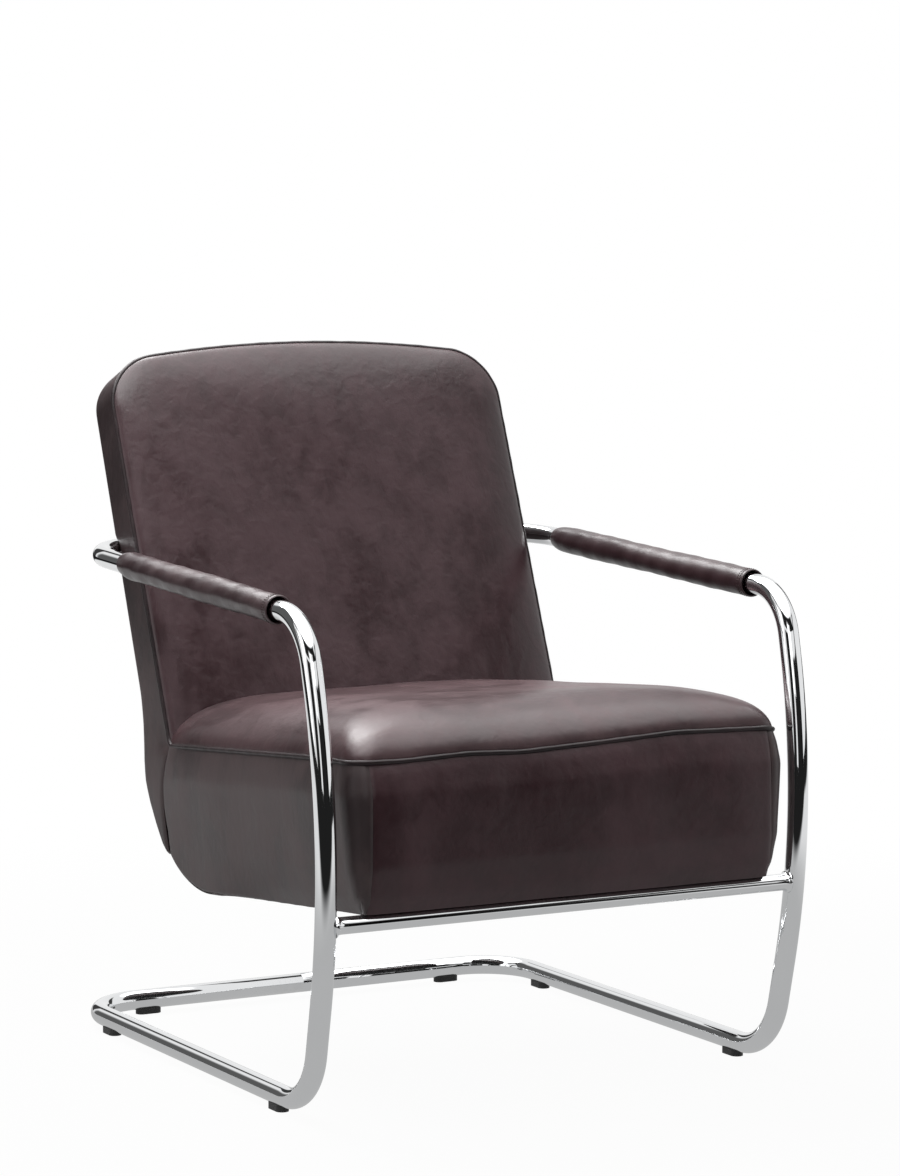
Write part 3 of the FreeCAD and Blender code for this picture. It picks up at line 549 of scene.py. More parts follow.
leg = frame_lines["left"]
leg = leg[(leg[:, 2] > 120) & (leg[:, 1] < -200)]
crossbar_y = float(np.interp(CROSSBAR_Z, leg[:, 2], leg[:, 1]))
end = frame_half(CROSSBAR_Z) - TUBE_R + INTO_LEG
plain = np.linspace(-end + PLAIN_FROM, end - PLAIN_FROM, PLAIN_RINGS)
xs = np.concatenate([-end + FLARE_AT, plain, (end - FLARE_AT)[::-1]])
sizes = CROSSBAR_R + np.concatenate([FLARE, np.zeros(PLAIN_RINGS), FLARE[::-1]])
bar = stack(xs, crossbar_y, CROSSBAR_Z)
piece("crossbar", [tube(bar, sizes, 48)], chrome_plate, ["front_crossbar"])

# %% [markdown]
# A cushion is an outline and a swelling. At each point the swelling depends on how far in it is
# from the piping: steep at first, as stuffing pushes the cover up, then nearly flat. Distances are
# measured to an outline whose corners grow rounder towards the middle, so no ridge shows there.

# %% Swelling of a cushion
def swelling(inset, reach=170.0):
    return np.sqrt(np.clip(1 - np.clip(1 - inset / reach, 0, 1) ** 3, 0, 1))


def inset_from(dx, dy, corner, growth=0.6):
    """Distance in from two edges that meet in a round corner."""
    low = np.zeros_like(dx)
    high = np.minimum(dx, dy)
    for _ in range(34):
        middle = (low + high) / 2
        radius = corner + growth * middle
        centre = middle + radius
        a = np.clip(centre - dx, 0, None)
        b = np.clip(centre - dy, 0, None)
        outside = np.hypot(a, b) > radius
        high = np.where(outside, middle, high)
        low = np.where(outside, low, middle)
    return (low + high) / 2


def round_corner(dx, dy, corner):
    """Moves points near a square corner onto and inside a round one."""
    a = np.clip((corner - dx) / corner, 0, 1)
    b = np.clip((corner - dy) / corner, 0, 1)
    return dx + corner * (a - a * np.sqrt(1 - b * b / 2)), dy + corner * (b - b * np.sqrt(1 - a * a / 2))


NEAR_EDGE = [0, 0.3, 0.8, 1.6, 2.8, 4.5, 6.5, 9, 12, 15.5, 19.5, 24, 29, 34.5, 40.5]


def spread(low, high, step, dense_high=True):
    """Numbers between two ends, closer together near an edge."""
    start = [low + value for value in NEAR_EDGE]
    stop = [high - value for value in NEAR_EDGE][::-1] if dense_high else [high]
    count = max(2, round((stop[0] - start[-1]) / step))
    return np.array(start[:-1] + list(np.linspace(start[-1], stop[0], count + 1)) + stop[1:])


print("a cushion's edge climbs", round(float(58 * swelling(np.array(3.0))), 1), "mm in the first 3 mm")

# %% [markdown]
# Nothing stuffed by hand is even. Three slow waves move the covers in and out a little, and the
# seat's front edge rises and dips, with the piping on it. The waves fade out at the piping, and
# the rise and dip depends on the place alone, so pieces that meet at the piping stay together.

# %% Unevenness of the stuffing
SWAY_WAVES = ((0.011, 0.013, 0.4), (0.023, 0.019, 1.9), (0.041, 0.037, 3.1))
WAVE_AT = (-286, -226, -140, -70, 32, 137, 216, 271, 286)
WAVE_LIFT = (-3.0, -4.5, -1.5, -4.5, -0.5, 4.5, 2.5, 1.5, -3.5)


def sway(points):
    """Slow unevenness of stuffing, about -1 to 1."""
    x, y, z = points[..., 0], points[..., 1], points[..., 2]
    total = 0
    for index, (first, second, phase) in enumerate(SWAY_WAVES):
        wave = np.sin(first * x + second * 0.6 * z + phase)
        wave = wave * np.cos(second * y - first * 0.5 * x + 2 * phase)
        total = total + wave / (1 + index)
    return total / 1.5


def settled(points):
    """The front edge isn't dead straight: the piping and all beside it rise and dip a little."""
    x, p, q = in_seat(points)
    table = np.linspace(-320, 320, 641)
    kernel = np.hanning(41) / np.hanning(41).sum()
    padded = np.pad(np.interp(table, WAVE_AT, WAVE_LIFT), 20, mode="edge")
    smooth = np.convolve(padded, kernel, "valid")
    lift = np.interp(x, table, smooth) * np.exp(-(p / 70.0) ** 2) * np.exp(-(q / 55.0) ** 2)
    moved = points.copy()
    moved[..., 2] += lift
    return moved


print("the front edge rises and dips by up to", max(abs(lift) for lift in WAVE_LIFT), "mm")

# %% [markdown]
# The back's front is a cushion with large round top corners and a top that bows up a little. Its
# foot runs down behind the seat cushion, where nobody sees it.

# %% Back cushion
BACK_CORNER = 60.0
BACK_CROWN = 22.0
BACK_REACH = 150.0
BOW_RADIUS = 1662.9
BOW_END = 219.9
SHOULDER_S = 499.75
SHOULDER_SLOPE = 0.1334


def back_top(x):
    """The top edge: a shallow arc, and a straight run at each end of it."""
    x = np.abs(x)
    bow = BACK_LENGTH - BOW_RADIUS + np.sqrt(BOW_RADIUS ** 2 - np.minimum(x, BOW_END) ** 2)
    return np.where(x < BOW_END, bow, SHOULDER_S + (BACK_HALF - x) * SHOULDER_SLOPE)


def back_height(x, s):
    dx = BACK_HALF - np.abs(x)
    ds = back_top(x) - s
    inset = inset_from(np.clip(dx, 0, None), np.clip(ds, 0, None), BACK_CORNER)
    return BACK_CROWN * swelling(inset, BACK_REACH)


def mirrored_corner(xs, drops, half, corner):
    """Grid of across positions and drops from an edge, with both corners rounded."""
    x, drop = np.meshgrid(xs, drops)
    dx, moved = round_corner(half - np.abs(x), drop, corner)
    return np.sign(x) * (half - dx), moved


back_xs = spread(-BACK_HALF, BACK_HALF, 7.0)
back_drops = spread(0.0, 560.0, 7.0, dense_high=False)
bx, bd = mirrored_corner(back_xs, back_drops, BACK_HALF, BACK_CORNER)
bs = back_top(bx) - bd
bn = back_height(bx, bs)
front = on_back(bx, bs, bn)
soft = np.clip(bn / BACK_CROWN, 0, 1)
front[..., 1] -= 1.6 * soft * sway(front)
foot_of_back = on_back(bx * 0.985, bs, np.full_like(bx, -10.0))
rear = np.where((bd > 0)[..., None] & (np.abs(bx) < BACK_HALF)[..., None], foot_of_back, front)
back_cushion = piece("back_cushion", [
    sheet_of(front), sheet_of(rear), sheet_of(np.stack([front[-1], rear[-1]])),
], back_leather, ["back_front_cover", "back_foam"])

# %% [markdown]
# The seat cushion is taller and drops steeply to the piping at its front and sides. Its rear edge
# rolls under where it presses on the back cushion.

# %% Seat cushion
SEAT_CORNER = 28.0
SEAT_CROWN = 58.0
LEAN_OF_BACK = BACK_LEAN - SEAT_TILT
STRETCH_FROM = 380.0
ROLL = 12.0


def seat_half(p):
    return SEAT_HALF - NARROWING * p / SEAT_DEPTH


def rear_limit(x, q):
    """How far back the seat cushion goes at a height: up to the face of the back cushion."""
    limit = SEAT_DEPTH + q * math.tan(LEAN_OF_BACK)
    rise = np.clip(q / math.cos(LEAN_OF_BACK), 0, None)
    return limit - back_height(np.clip(x, -BACK_HALF + 1, BACK_HALF - 1), rise) / math.cos(LEAN_OF_BACK)


def seat_height(x, p):
    dx = np.clip(seat_half(p) - np.abs(x), 0, None)
    return SEAT_CROWN * swelling(inset_from(dx, np.clip(p, 0, None), SEAT_CORNER))


seat_xs = spread(-SEAT_HALF, SEAT_HALF, 7.0) / SEAT_HALF
seat_ps = spread(0.0, SEAT_DEPTH, 7.0)
across, depth = np.meshgrid(seat_xs * SEAT_HALF, seat_ps)
dx, dp = round_corner(SEAT_HALF - np.abs(across), depth, SEAT_CORNER)
share_across = np.sign(across) * (SEAT_HALF - dx) / SEAT_HALF
sx = share_across * seat_half(dp)
top = seat_height(sx, dp)
limit = rear_limit(sx, top)
ease = np.clip((dp - STRETCH_FROM) / (SEAT_DEPTH - STRETCH_FROM), 0, 1) ** 1.5
sp = dp + (limit - SEAT_DEPTH) * ease
to_rear = np.clip(limit - sp, 0, None)
roll = np.where(to_rear < ROLL, ROLL - np.sqrt(np.clip(ROLL ** 2 - (ROLL - to_rear) ** 2, 0, None)), 0)
roll = roll * np.clip(top / SEAT_CROWN, 0, 1)
upper = on_seat(sx, sp, top - roll)
fullness = np.clip(top / SEAT_CROWN, 0, 1) ** 2
upper[..., 2] += 1.8 * fullness * sway(upper)
under_q = np.minimum(top - roll, -9.0 * np.clip(top / 12.0, 0, 1))
lower = on_seat(sx * 0.985, np.clip(sp, 5.0, None), under_q)
edge = (top <= 0)[..., None]
lower = np.where(edge, upper, lower)
upper, lower = settled(upper), settled(lower)
seat_cushion = piece("seat_cushion", [
    sheet_of(upper), sheet_of(lower), sheet_of(np.stack([upper[-1], lower[-1]])),
], seat_leather, ["seat_top_cover", "seat_foam"])
print("seat cushion stands", round(float(upper[..., 2].max()), 1), "mm above the floor")

# %% [markdown]
# The borders run round the seat below the piping. They swell just under it and tuck in at the
# bottom, where they are stapled. Where two covers meet they dive into a seam.

# %% Swell of the borders
def table_smoothed(xs, ys, width):
    grid = np.linspace(0, 1, 401)
    kernel = np.hanning(width) / np.hanning(width).sum()
    padded = np.pad(np.interp(grid, xs, ys), width // 2, mode="reflect", reflect_type="odd")
    return grid, np.convolve(padded, kernel, "valid")


BULGE = table_smoothed((0, 0.08, 0.22, 0.40, 0.60, 0.77, 1), (0, 0.55, 1, 0.72, 0.30, 0, 0), 41)
TUCK = table_smoothed((0, 0.72, 0.9, 1.0), (0, 0, 0.44, 1), 41)
WRAP_AT = (-176, -136, -106, -75, -45, -20, 0, 25, 60)
WRAP_SWELL = (0, 0.3, 2.2, 4.6, 5.8, 4.6, 2.8, 1.0, 0)


def border_swell(drop, tuck=16.0):
    drop = np.clip(drop, 0, 1)
    return 8.0 * np.interp(drop, *BULGE) - tuck * np.interp(drop, *TUCK)


def wrap_swell(q):
    """How far the outer back's wrap stands out beside the seat: a slow swell with no tuck."""
    return np.interp(q, WRAP_AT, WRAP_SWELL)


print("a border stands out up to", round(float(border_swell(0.22)), 1), "mm")

# %% [markdown]
# The side seam runs down from the foot of the back in one slow curve, an arc through three points.
# It parts the seat's side border from the wrap of the outer back. At a seam the cover dives into a
# narrow valley that is part of the mesh, because bump alone wouldn't show in the outline.

# %% Side seam
SEAM_DEPTH = 2.2
SEAM_WIDTH = 3.2


def seam_line(samples=60):
    """Seam from the foot of the back down the side, as (y, z)."""
    top = FOOT[1:]
    middle = top + (13.0, -55.0)
    foot = top + (-6.0, -BORDER)
    ax, ay, bx_, by_, cx, cy = *top, *middle, *foot
    top_2, middle_2, foot_2 = ax ** 2 + ay ** 2, bx_ ** 2 + by_ ** 2, cx ** 2 + cy ** 2
    d = 2 * (ax * (by_ - cy) + bx_ * (cy - ay) + cx * (ay - by_))
    centre = np.array([
        (top_2 * (by_ - cy) + middle_2 * (cy - ay) + foot_2 * (ay - by_)) / d,
        (top_2 * (cx - bx_) + middle_2 * (ax - cx) + foot_2 * (bx_ - ax)) / d,
    ])
    radius = np.linalg.norm(top - centre)
    angles = [math.atan2(*(point - centre)[::-1]) for point in (top, foot)]
    sweep = np.linspace(*angles, samples)
    return centre + radius * np.stack([np.cos(sweep), np.sin(sweep)], axis=1)


def dive(distance):
    """How far a cover dives into a seam at a distance from it."""
    return SEAM_DEPTH * np.exp(-(np.abs(distance) / SEAM_WIDTH) ** 1.4)


seam = seam_line()
print("side seam goes from", seam[0].round(1), "to", seam[-1].round(1))

# %% [markdown]
# Seen from the side, the rear runs straight down the back, bends a little behind the seat and comes
# round the heel in a wide arc to the flat underside. The whole line is drawn first, then cut near
# the end of the side seam: the wrap has the part above, the side borders the part below.

# %% Outline of the rear and the heel
BACK_THICKNESS = 70.0
HEEL_TOP_Z = 424.0
WAIST_RADIUS = 300.0
HEEL_RADIUS = 170.0
UPPER_S = 130.0
TAPER = math.atan(8.0 / BACK_LENGTH)
REAR_LEAN = BACK_LEAN - TAPER
HEEL_LEAN = math.radians(12.8)


def back_depth(s):
    return BACK_THICKNESS - s * math.tan(TAPER)


def meet(point, along, other, across):
    """Where two lines cross, each given by a point and a direction."""
    cross = along[0] * across[1] - along[1] * across[0]
    gap = other - point
    return point + along * ((gap[0] * across[1] - gap[1] * across[0]) / cross)


foot_rear = on_back(0.0, 0.0, -BACK_THICKNESS)[1:]
heel_top = foot_rear + np.array([math.tan(REAR_LEAN), 1.0]) * (HEEL_TOP_Z - foot_rear[1])
heel_along = -np.array([math.sin(HEEL_LEAN), math.cos(HEEL_LEAN)])
bottom_point = on_seat(0.0, 0.0, -BORDER)[1:]
bottom_along = np.array([-math.cos(SEAT_TILT), math.sin(SEAT_TILT)])
heel_corner = meet(heel_top, heel_along, bottom_point, bottom_along)
upper_end = on_back(0.0, UPPER_S, -back_depth(UPPER_S))[1:]
bottom_end = on_seat(0.0, 36.0, -BORDER)[1:]
corners = [(0, *upper_end), (0, *heel_top), (0, *heel_corner), (0, *bottom_end)]
whole = rounded(corners, [WAIST_RADIUS, HEEL_RADIUS], 3.0)
whole = even(whole, 1.0)[:, 1:]
seam_gap = np.linalg.norm(whole[:, None] - seam[None], axis=2)
crossing, seam_stop = np.unravel_index(int(np.argmin(seam_gap[:, 30:])), seam_gap[:, 30:].shape)
seam_end = whole[crossing]
profile = whole[:crossing - 24]
front_edge = np.concatenate([
    [on_back(0.0, UPPER_S * (1 - t), 0.0)[1:] for t in np.linspace(0, 1, 40)],
    seam[1:seam_stop + 30], [seam_end],
])
front_edge = even(np.insert(front_edge, 0, 0.0, axis=1), 2.0)[:, 1:]


def bottom_depth(p):
    """How far the underside lies below the piping: less where the heel curves up."""
    run, depth = in_seat(np.insert(whole, 0, 0.0, axis=1))[1:]
    low = depth < -60.0
    order = np.argsort(run[low])
    return -np.interp(p, run[low][order], depth[low][order])


print("side seam ends at", seam_end.round(1))

# %% [markdown]
# A border is a stack of rows, from the piping down to a hem that turns under. The front border
# stands between two upright seams close to the corners and is pulled in a little beside them.

# %% Front border
SEAM_INSET = 18.0
SOFT_PULL = 2.2
SOFT_WIDTH = 24.0
BORDER_SWAY = 1.3
DROPS = np.concatenate([
    [0, 0.006, 0.015, 0.03, 0.05], np.linspace(0.075, 0.96, 34), [0.975, 0.988, 0.996, 1.0]])
HEM = [(2.0, 0.9), (5.0, 1.4), (12.0, 1.5), (26.0, 1.5)]


def border_rows():
    """Inset and height of each row of a border, with the hem that turns under."""
    rows = [(-float(border_swell(drop)), -BORDER * drop) for drop in DROPS]
    last = rows[-1][0]
    return rows + [(last + inwards, -BORDER + 0.2 * up) for inwards, up in HEM]


def front_border():
    rows = []
    xs = spread(-(SEAT_HALF - SEAM_INSET), SEAT_HALF - SEAM_INSET, 8.0)
    to_seam = SEAT_HALF - SEAM_INSET - np.abs(xs)
    pulled_in = SOFT_PULL * np.exp(-(to_seam / SOFT_WIDTH) ** 1.6)
    for inset, q in border_rows():
        narrow = min(1.0, (SEAT_HALF - inset - 0.3) / (SEAT_HALF - SEAM_INSET))
        line = on_seat(xs * narrow, inset + dive(to_seam) + pulled_in, q)
        pull = np.exp(-(q / 14.0) ** 2)
        line[:, 1] -= BORDER_SWAY * sway(line * (1.6, 1, 1.2)) * (1 - pull)
        rows.append(line)
    return settled(np.array(rows))


def border_piece(name, rows, hide, nodes):
    cover = piece(name, [sheet_of(rows)], hide, nodes, wall=1.6)


border_piece("seat_front_cover", front_border(), front_leather, ["seat_front_border", "front_pad"])

# %% [markdown]
# A side border starts at the front seam, goes round the corner and runs back to the side seam. At
# the heel its lower rows rise with the arc of the underside, its edge is rounded there, and its
# swell becomes that of the wrap beside it.

# %% Side borders
EDGE_ROUND = 4.5
REAR_FROM = 230.0
REAR_OVER = 190.0
REAR_TUCK = 3.0
WRAP_WIDTH = 40.0

seam_in_seat = in_seat(np.insert(seam, 0, 0.0, axis=1))
seam_foot_q = in_seat(np.array([0.0, *seam_end]))[2]


def seam_at(q):
    """Where the side seam is along the seat, at a height below the piping."""
    return np.interp(max(q, seam_foot_q), seam_in_seat[2][::-1], seam_in_seat[1][::-1])


def side_border(side):
    rows = []
    for inset, q in border_rows():
        corner = max(SEAT_CORNER - inset, 4.0)
        half = SEAT_HALF - inset
        seam_p = float(seam_at(q))
        start = max(half - (SEAT_HALF - SEAM_INSET), 0.3)
        front_run = max(start - corner, 0.0)
        first_angle = math.asin(1 - min(start / corner, 1.0))
        angles = np.linspace(first_angle, math.pi / 2, 22)
        lead = np.linspace(0, front_run, 3)[:-1] if front_run > 0.5 else np.zeros(0)
        x = [half - start + value for value in lead]
        p = [inset for value in lead]
        x += list(half - corner + corner * np.sin(angles))
        p += list(inset + corner - corner * np.cos(angles))
        run = np.array([x, p]).T
        tail_p = np.linspace(inset + corner, seam_p, 70)[1:]
        taper = NARROWING * tail_p / SEAT_DEPTH
        tail = np.array([half - taper, tail_p]).T
        run = np.concatenate([run, tail])
        steps = np.linalg.norm(np.diff(run, axis=0), axis=1)
        along = np.concatenate([[0], np.cumsum(steps)])
        at = spread(0, along[-1], 7.0)
        at = at[:10].tolist() + np.linspace(at[10], at[-10], 74).tolist() + at[-9:].tolist()
        px = np.interp(at, along, run[:, 0])
        pp = np.interp(at, along, run[:, 1])
        direction = np.gradient(np.array([px, pp]), axis=1)
        direction /= np.linalg.norm(direction, axis=0)
        to_seam = np.minimum(at, along[-1] - np.array(at))
        sink = dive(to_seam)
        px, pp = px - direction[1] * sink, pp + direction[0] * sink
        depth = bottom_depth(pp)
        lifted = q * np.minimum(depth / BORDER, 1.0)
        at_rear = np.clip((pp - REAR_FROM) / REAR_OVER, 0, 1)
        at_rear = at_rear * at_rear * (3 - 2 * at_rear)
        above = np.clip(depth + lifted, 0, None)
        short = np.clip(EDGE_ROUND - above, 0, None)
        edge = EDGE_ROUND - np.sqrt(np.clip(EDGE_ROUND ** 2 - short ** 2, 0, None))
        at_wrap = np.exp(-(np.clip(seam_p - pp, 0, None) / WRAP_WIDTH) ** 2)
        stands = border_swell(-lifted / BORDER, REAR_TUCK) * (1 - at_wrap) + wrap_swell(lifted) * at_wrap
        square = half + inset + stands - edge
        px = px + at_rear * (square - half)
        line = on_seat(side * px, pp, lifted)
        pull = np.exp(-(q / 14.0) ** 2)
        line[:, 0] += side * BORDER_SWAY * sway(line * (1, 1.3, 1)) * (1 - pull)
        rows.append(line)
    return settled(np.array(rows))


for name, side in (("left", -1), ("right", 1)):
    border_piece("seat_side_cover_" + name + "_leather", side_border(side), side_leather,
                 ["seat_side_cover_" + name, "seat_side_pad_" + name])

# %% [markdown]
# The outer back is one wrap: a band along each side and over the top, the flat rear, and the round
# heel under the seat. It is made like the lid of a box. A grid covers the rear from the top edge
# down round the heel, and rings run from its rim forward to the piping and to the side seam.

# %% Shell of the back
def along_line(line, share):
    at = share * (len(line) - 1)
    return np.stack([np.interp(at, np.arange(len(line)), line[:, axis]) for axis in range(2)], axis=-1)


EDGE = 11.0
RIM_INSETS = np.array([EDGE, 9.4, 7.2, 4.6, 2.6, 1.2, 0.35, 0.0, 0.0])
RIM_BACK = np.array([0.0, 0.15, 0.75, 2.1, 3.9, 6.0, 8.3, EDGE, 14.0])
BAND_SHARES = (1 - np.linspace(0, 1, 22))[1:]


def side_half(y, z):
    """Half the width of the wrap at a place of the side view."""
    return BACK_HALF + wrap_swell(in_seat(np.stack([np.zeros_like(y), y, z], axis=-1))[2])


def shell():
    upper_drops = spread(0.0, BACK_LENGTH - UPPER_S, 8.0, dense_high=False)
    lower_shares = np.linspace(0, 1, 64)[1:]
    xs = spread(-BACK_HALF + EDGE, BACK_HALF - EDGE, 9.0)
    gx, gd = mirrored_corner(xs, upper_drops, BACK_HALF - EDGE, BACK_CORNER - EDGE)
    gd = gd + EDGE * (1 - gd / upper_drops[-1])
    blend = np.clip(1 - gd / 260.0, 0, 1) ** 1.5
    gs = BACK_LENGTH - gd + (back_top(gx) - BACK_LENGTH) * blend
    cap = [on_back(gx[row], gs[row], -back_depth(gs[row])) for row in range(len(upper_drops))]
    for share in lower_shares:
        y, z = along_line(profile, share)
        half = float(side_half(y, z)) - EDGE
        cap.append(stack(xs / (BACK_HALF - EDGE) * half, y, z))
    cap = np.array(cap)
    count = len(upper_drops)
    rings = []
    rim = [("side", row, 0) for row in range(len(cap) - 1, -1, -1)]
    rim += [("top", 0, column) for column in range(1, len(xs) - 1)]
    rim += [("side", row, len(xs) - 1) for row in range(len(cap))]
    for kind, row, column in rim:
        sign = -1 if xs[column] < 0 else 1
        ring = []
        if row < count:
            x, s = gx[row, column], gs[row, column]
            dx = BACK_HALF - abs(x)
            ds = float(back_top(x)) - s
            if dx < BACK_CORNER and ds < BACK_CORNER:
                vx, vs = BACK_CORNER - dx, BACK_CORNER - ds
                size = math.hypot(vx, vs)
                vx, vs = vx / size, vs / size
            elif kind == "side":
                vx, vs = 1.0, 0.0
            else:
                vx, vs = 0.0, 1.0
            depth = back_depth(s)
            for inset, back_by in zip(RIM_INSETS, RIM_BACK):
                out = EDGE - inset
                ring.append(on_back(x + sign * vx * out, s + vs * out, -(depth - back_by)))
            start = depth - RIM_BACK[-1]
            for share in BAND_SHARES:
                ring.append(on_back(x + sign * vx * EDGE, s + vs * EDGE, -start * share))
        else:
            share = lower_shares[row - count]
            rear = along_line(profile, share)
            fore = along_line(front_edge, share)
            length = np.linalg.norm(rear - fore)
            towards = (fore - rear) / length
            shrink = min(1.0, length / 40.0)
            for inset, back_by in zip(RIM_INSETS, RIM_BACK):
                y, z = rear + towards * back_by * shrink
                ring.append(stack(sign * (float(side_half(y, z)) - inset), y, z))
            for share_left in BAND_SHARES:
                back_by = RIM_BACK[-1] * shrink
                y, z = fore + (rear + towards * back_by - fore) * share_left
                distance = np.linalg.norm((y, z) - fore)
                at_piping = math.exp(-(distance / 25.0) ** 2)
                at_piping *= float(np.clip((z - FOOT[2]) / 12.0 + 1, 0, 1))
                sink = float(dive(distance)) if z < FOOT[2] else 0.0
                sink += at_piping * float(side_half(y, z) - BACK_HALF)
                ring.append(stack(sign * (float(side_half(y, z)) - sink), y, z))
        rings.append(ring)
    rings = np.array(rings)
    across = ((xs - xs[0]) / (xs[-1] - xs[0]))[:, None]
    under = np.array([left + (right - left) * across for left, right in zip(rings[0], rings[-1])])
    return cap, rings, under


cap, rings, under = shell()
print("the outer back has", len(rings), "rings round its rim")

# %% [markdown]
# The bar behind the back bends forward close beside the band, so the leather gives way there. Every
# point nearer to the tube than its skin is pushed straight away from it, which leaves a shallow
# press mark.

# %% Press marks of the tube
PRESS_REACH = 17.0
SKIN_TO_TUBE = 13.3
PRESS_EASE = 3.7


def pressed(points):
    """Presses the points away from the tube where its bends lie against the back."""
    moved = points.copy()
    for line in frame_lines.values():
        near_line = line[(line[:, 1] > 230) & (line[:, 2] > 500)]
        near_line = even(near_line, 2.0)
        flat = moved.reshape(-1, 3)
        close = np.where((flat[:, 2] > 560) & (flat[:, 2] < 660) & (flat[:, 1] > 300))[0]
        for index in close:
            gaps = np.linalg.norm(near_line - flat[index], axis=1)
            nearest = int(np.argmin(gaps))
            if gaps[nearest] < PRESS_REACH:
                away = (flat[index] - near_line[nearest]) / gaps[nearest]
                target = SKIN_TO_TUBE + PRESS_EASE * (gaps[nearest] / PRESS_REACH) ** 3
                if gaps[nearest] < target:
                    flat[index] = near_line[nearest] + away * target
        moved = flat.reshape(points.shape)
    return moved


shell_cover = piece(
    "back_shell_leather", [sheet_of(pressed(part)) for part in (cap, rings, under)],
    side_leather,
    ["back_shell_cover", "rear_pad", "back_side_pad_left", "back_side_pad_right"], wall=1.6)

# %% [markdown]
# The piping is a cord sewn into a narrow strip of the same leather. One length runs round the
# seat's front and sides, turns up at the foot of the back and goes over its top.

# %% Piping
PIPING_R = 3.0
PIPING_STEP = 3.0


def piping_line():
    half = []
    front_x = np.linspace(0, SEAT_HALF - SEAT_CORNER, 90)
    half += list(on_seat(front_x, 0.0, 0.0))
    turn = np.linspace(0, math.pi / 2, 24)[1:]
    half += list(on_seat(SEAT_HALF - SEAT_CORNER + SEAT_CORNER * np.sin(turn),
                         SEAT_CORNER - SEAT_CORNER * np.cos(turn), 0.0))
    run = np.linspace(SEAT_CORNER, SEAT_DEPTH - 12.0, 150)[1:]
    half += list(on_seat(seat_half(run), run, 0.0))
    foot = rounded([on_seat(BACK_HALF, SEAT_DEPTH - 12, 0.0), on_seat(BACK_HALF, SEAT_DEPTH, 0.0),
                    on_back(BACK_HALF, 20.0, 0.0)], [12.0], 1.5)
    half += list(foot[1:])
    half += list(on_back(BACK_HALF, np.linspace(20, SHOULDER_S - BACK_CORNER, 140)[1:], 0.0))
    turn = np.linspace(0, math.pi / 2, 40)[1:]
    dx = BACK_CORNER * (1 - np.cos(turn))
    ds = BACK_CORNER * (1 - np.sin(turn))
    x = BACK_HALF - dx
    half += list(on_back(x, back_top(x) - ds, 0.0))
    x = np.linspace(BACK_HALF - BACK_CORNER, 0, 70)[1:]
    half += list(on_back(x, back_top(x), 0.0))
    half = np.array(half)
    other = half[::-1][1:-1] * (-1, 1, 1)
    return np.concatenate([half, other])


line = piping_line()
line = even(np.concatenate([line, line[:1]]), PIPING_STEP)[:-1]
line = settled(line)
cord = np.arange(len(line)) * PIPING_STEP
size = PIPING_R + 0.16 * np.sin(cord / 9.0) * np.sin(cord / 41.0) + 0.1 * np.sin(cord / 4.1 + 1)
piece("piping_cord", [tube(line, size, 20, closed=True)], piping_leather, ["piping"])

# %% [markdown]
# Each arm wears a leather sleeve over a thin pad. It is a loose tube, so its skin has shallow
# folds, its rear end is drawn in on the steel, and its front end is open with a turned hem.

# %% Arm sleeves
SLEEVE_SIDES = 56


def sleeve(side, rear_y):
    ys = np.concatenate([[-180.0, -179.4, -178.2, -176.0], np.linspace(-172, rear_y - 26, 90),
                         rear_y - 26 + 26 * np.sin(np.linspace(0, math.pi / 2, 16))[1:]])
    turns = np.arange(SLEEVE_SIDES) * 2 * math.pi / SLEEVE_SIDES
    x = side * frame_half(ARM_FRONT_Z)
    rings = []

    def ring(y, radius, fold=0.0):
        ripple = np.sin(0.11 * y + 2.2 * np.sin(turns) + side) * np.sin(0.041 * y + 3 * np.cos(turns))
        sag = 0.5 * np.sin(0.023 * y + turns * 2 + side)
        size = radius + fold * (0.42 * ripple + sag * 0.8)
        return stack(x + size * np.cos(turns), y, arm_z(y) + size * np.sin(turns))

    for y, size in ((-150, 13.2), (-168, 14.9), (-176, 15.0), (-179.0, 15.1), (-180.0, 15.6)):
        rings.append(ring(y, size))
    lip = {-180.0: 16.2, -179.4: 16.8, -178.2: 17.1, -176.0: 17.1}
    for y in ys:
        base = lip.get(float(y), 17.0)
        into = np.clip((y - (rear_y - 26)) / 26.0, 0, 1)
        size = base - (base - 13.4) * into ** 2.2
        hem = -0.45 * math.exp(-((y + 171.5) / 1.6) ** 2)
        fold = float(np.clip((y + 176) / 20.0, 0, 1)) * (1 - 0.5 * into)
        rings.append(ring(y, size + hem, fold))
    rings.append(ring(rear_y - 0.5, 12.7))
    rings = np.array(rings)
    return rings.reshape(-1, 3), grid_faces(len(rings), SLEEVE_SIDES, wrap=True)


def close_loop(points, sides):
    """Joins the first and last ring, so that the sleeve's wall is closed."""
    last = len(points) - sides
    return [(last + a, last + (a + 1) % sides, (a + 1) % sides, a) for a in range(sides)]


for name, side, rear_y in (("left", -1, 244.0), ("right", 1, 288.0)):
    points, faces = sleeve(side, rear_y)
    faces += close_loop(points, SLEEVE_SIDES)
    item = piece("sleeve_" + name, [(points, faces)], sleeve_leather,
                 ["arm_sleeve_" + name, "arm_pad_" + name])

# %% [markdown]
# Two rows of stitches hold each sleeve's hem. A Geometry Nodes tree sets one thread on every step
# of a circle, so the number, length and thickness of the stitches are inputs that can be changed.

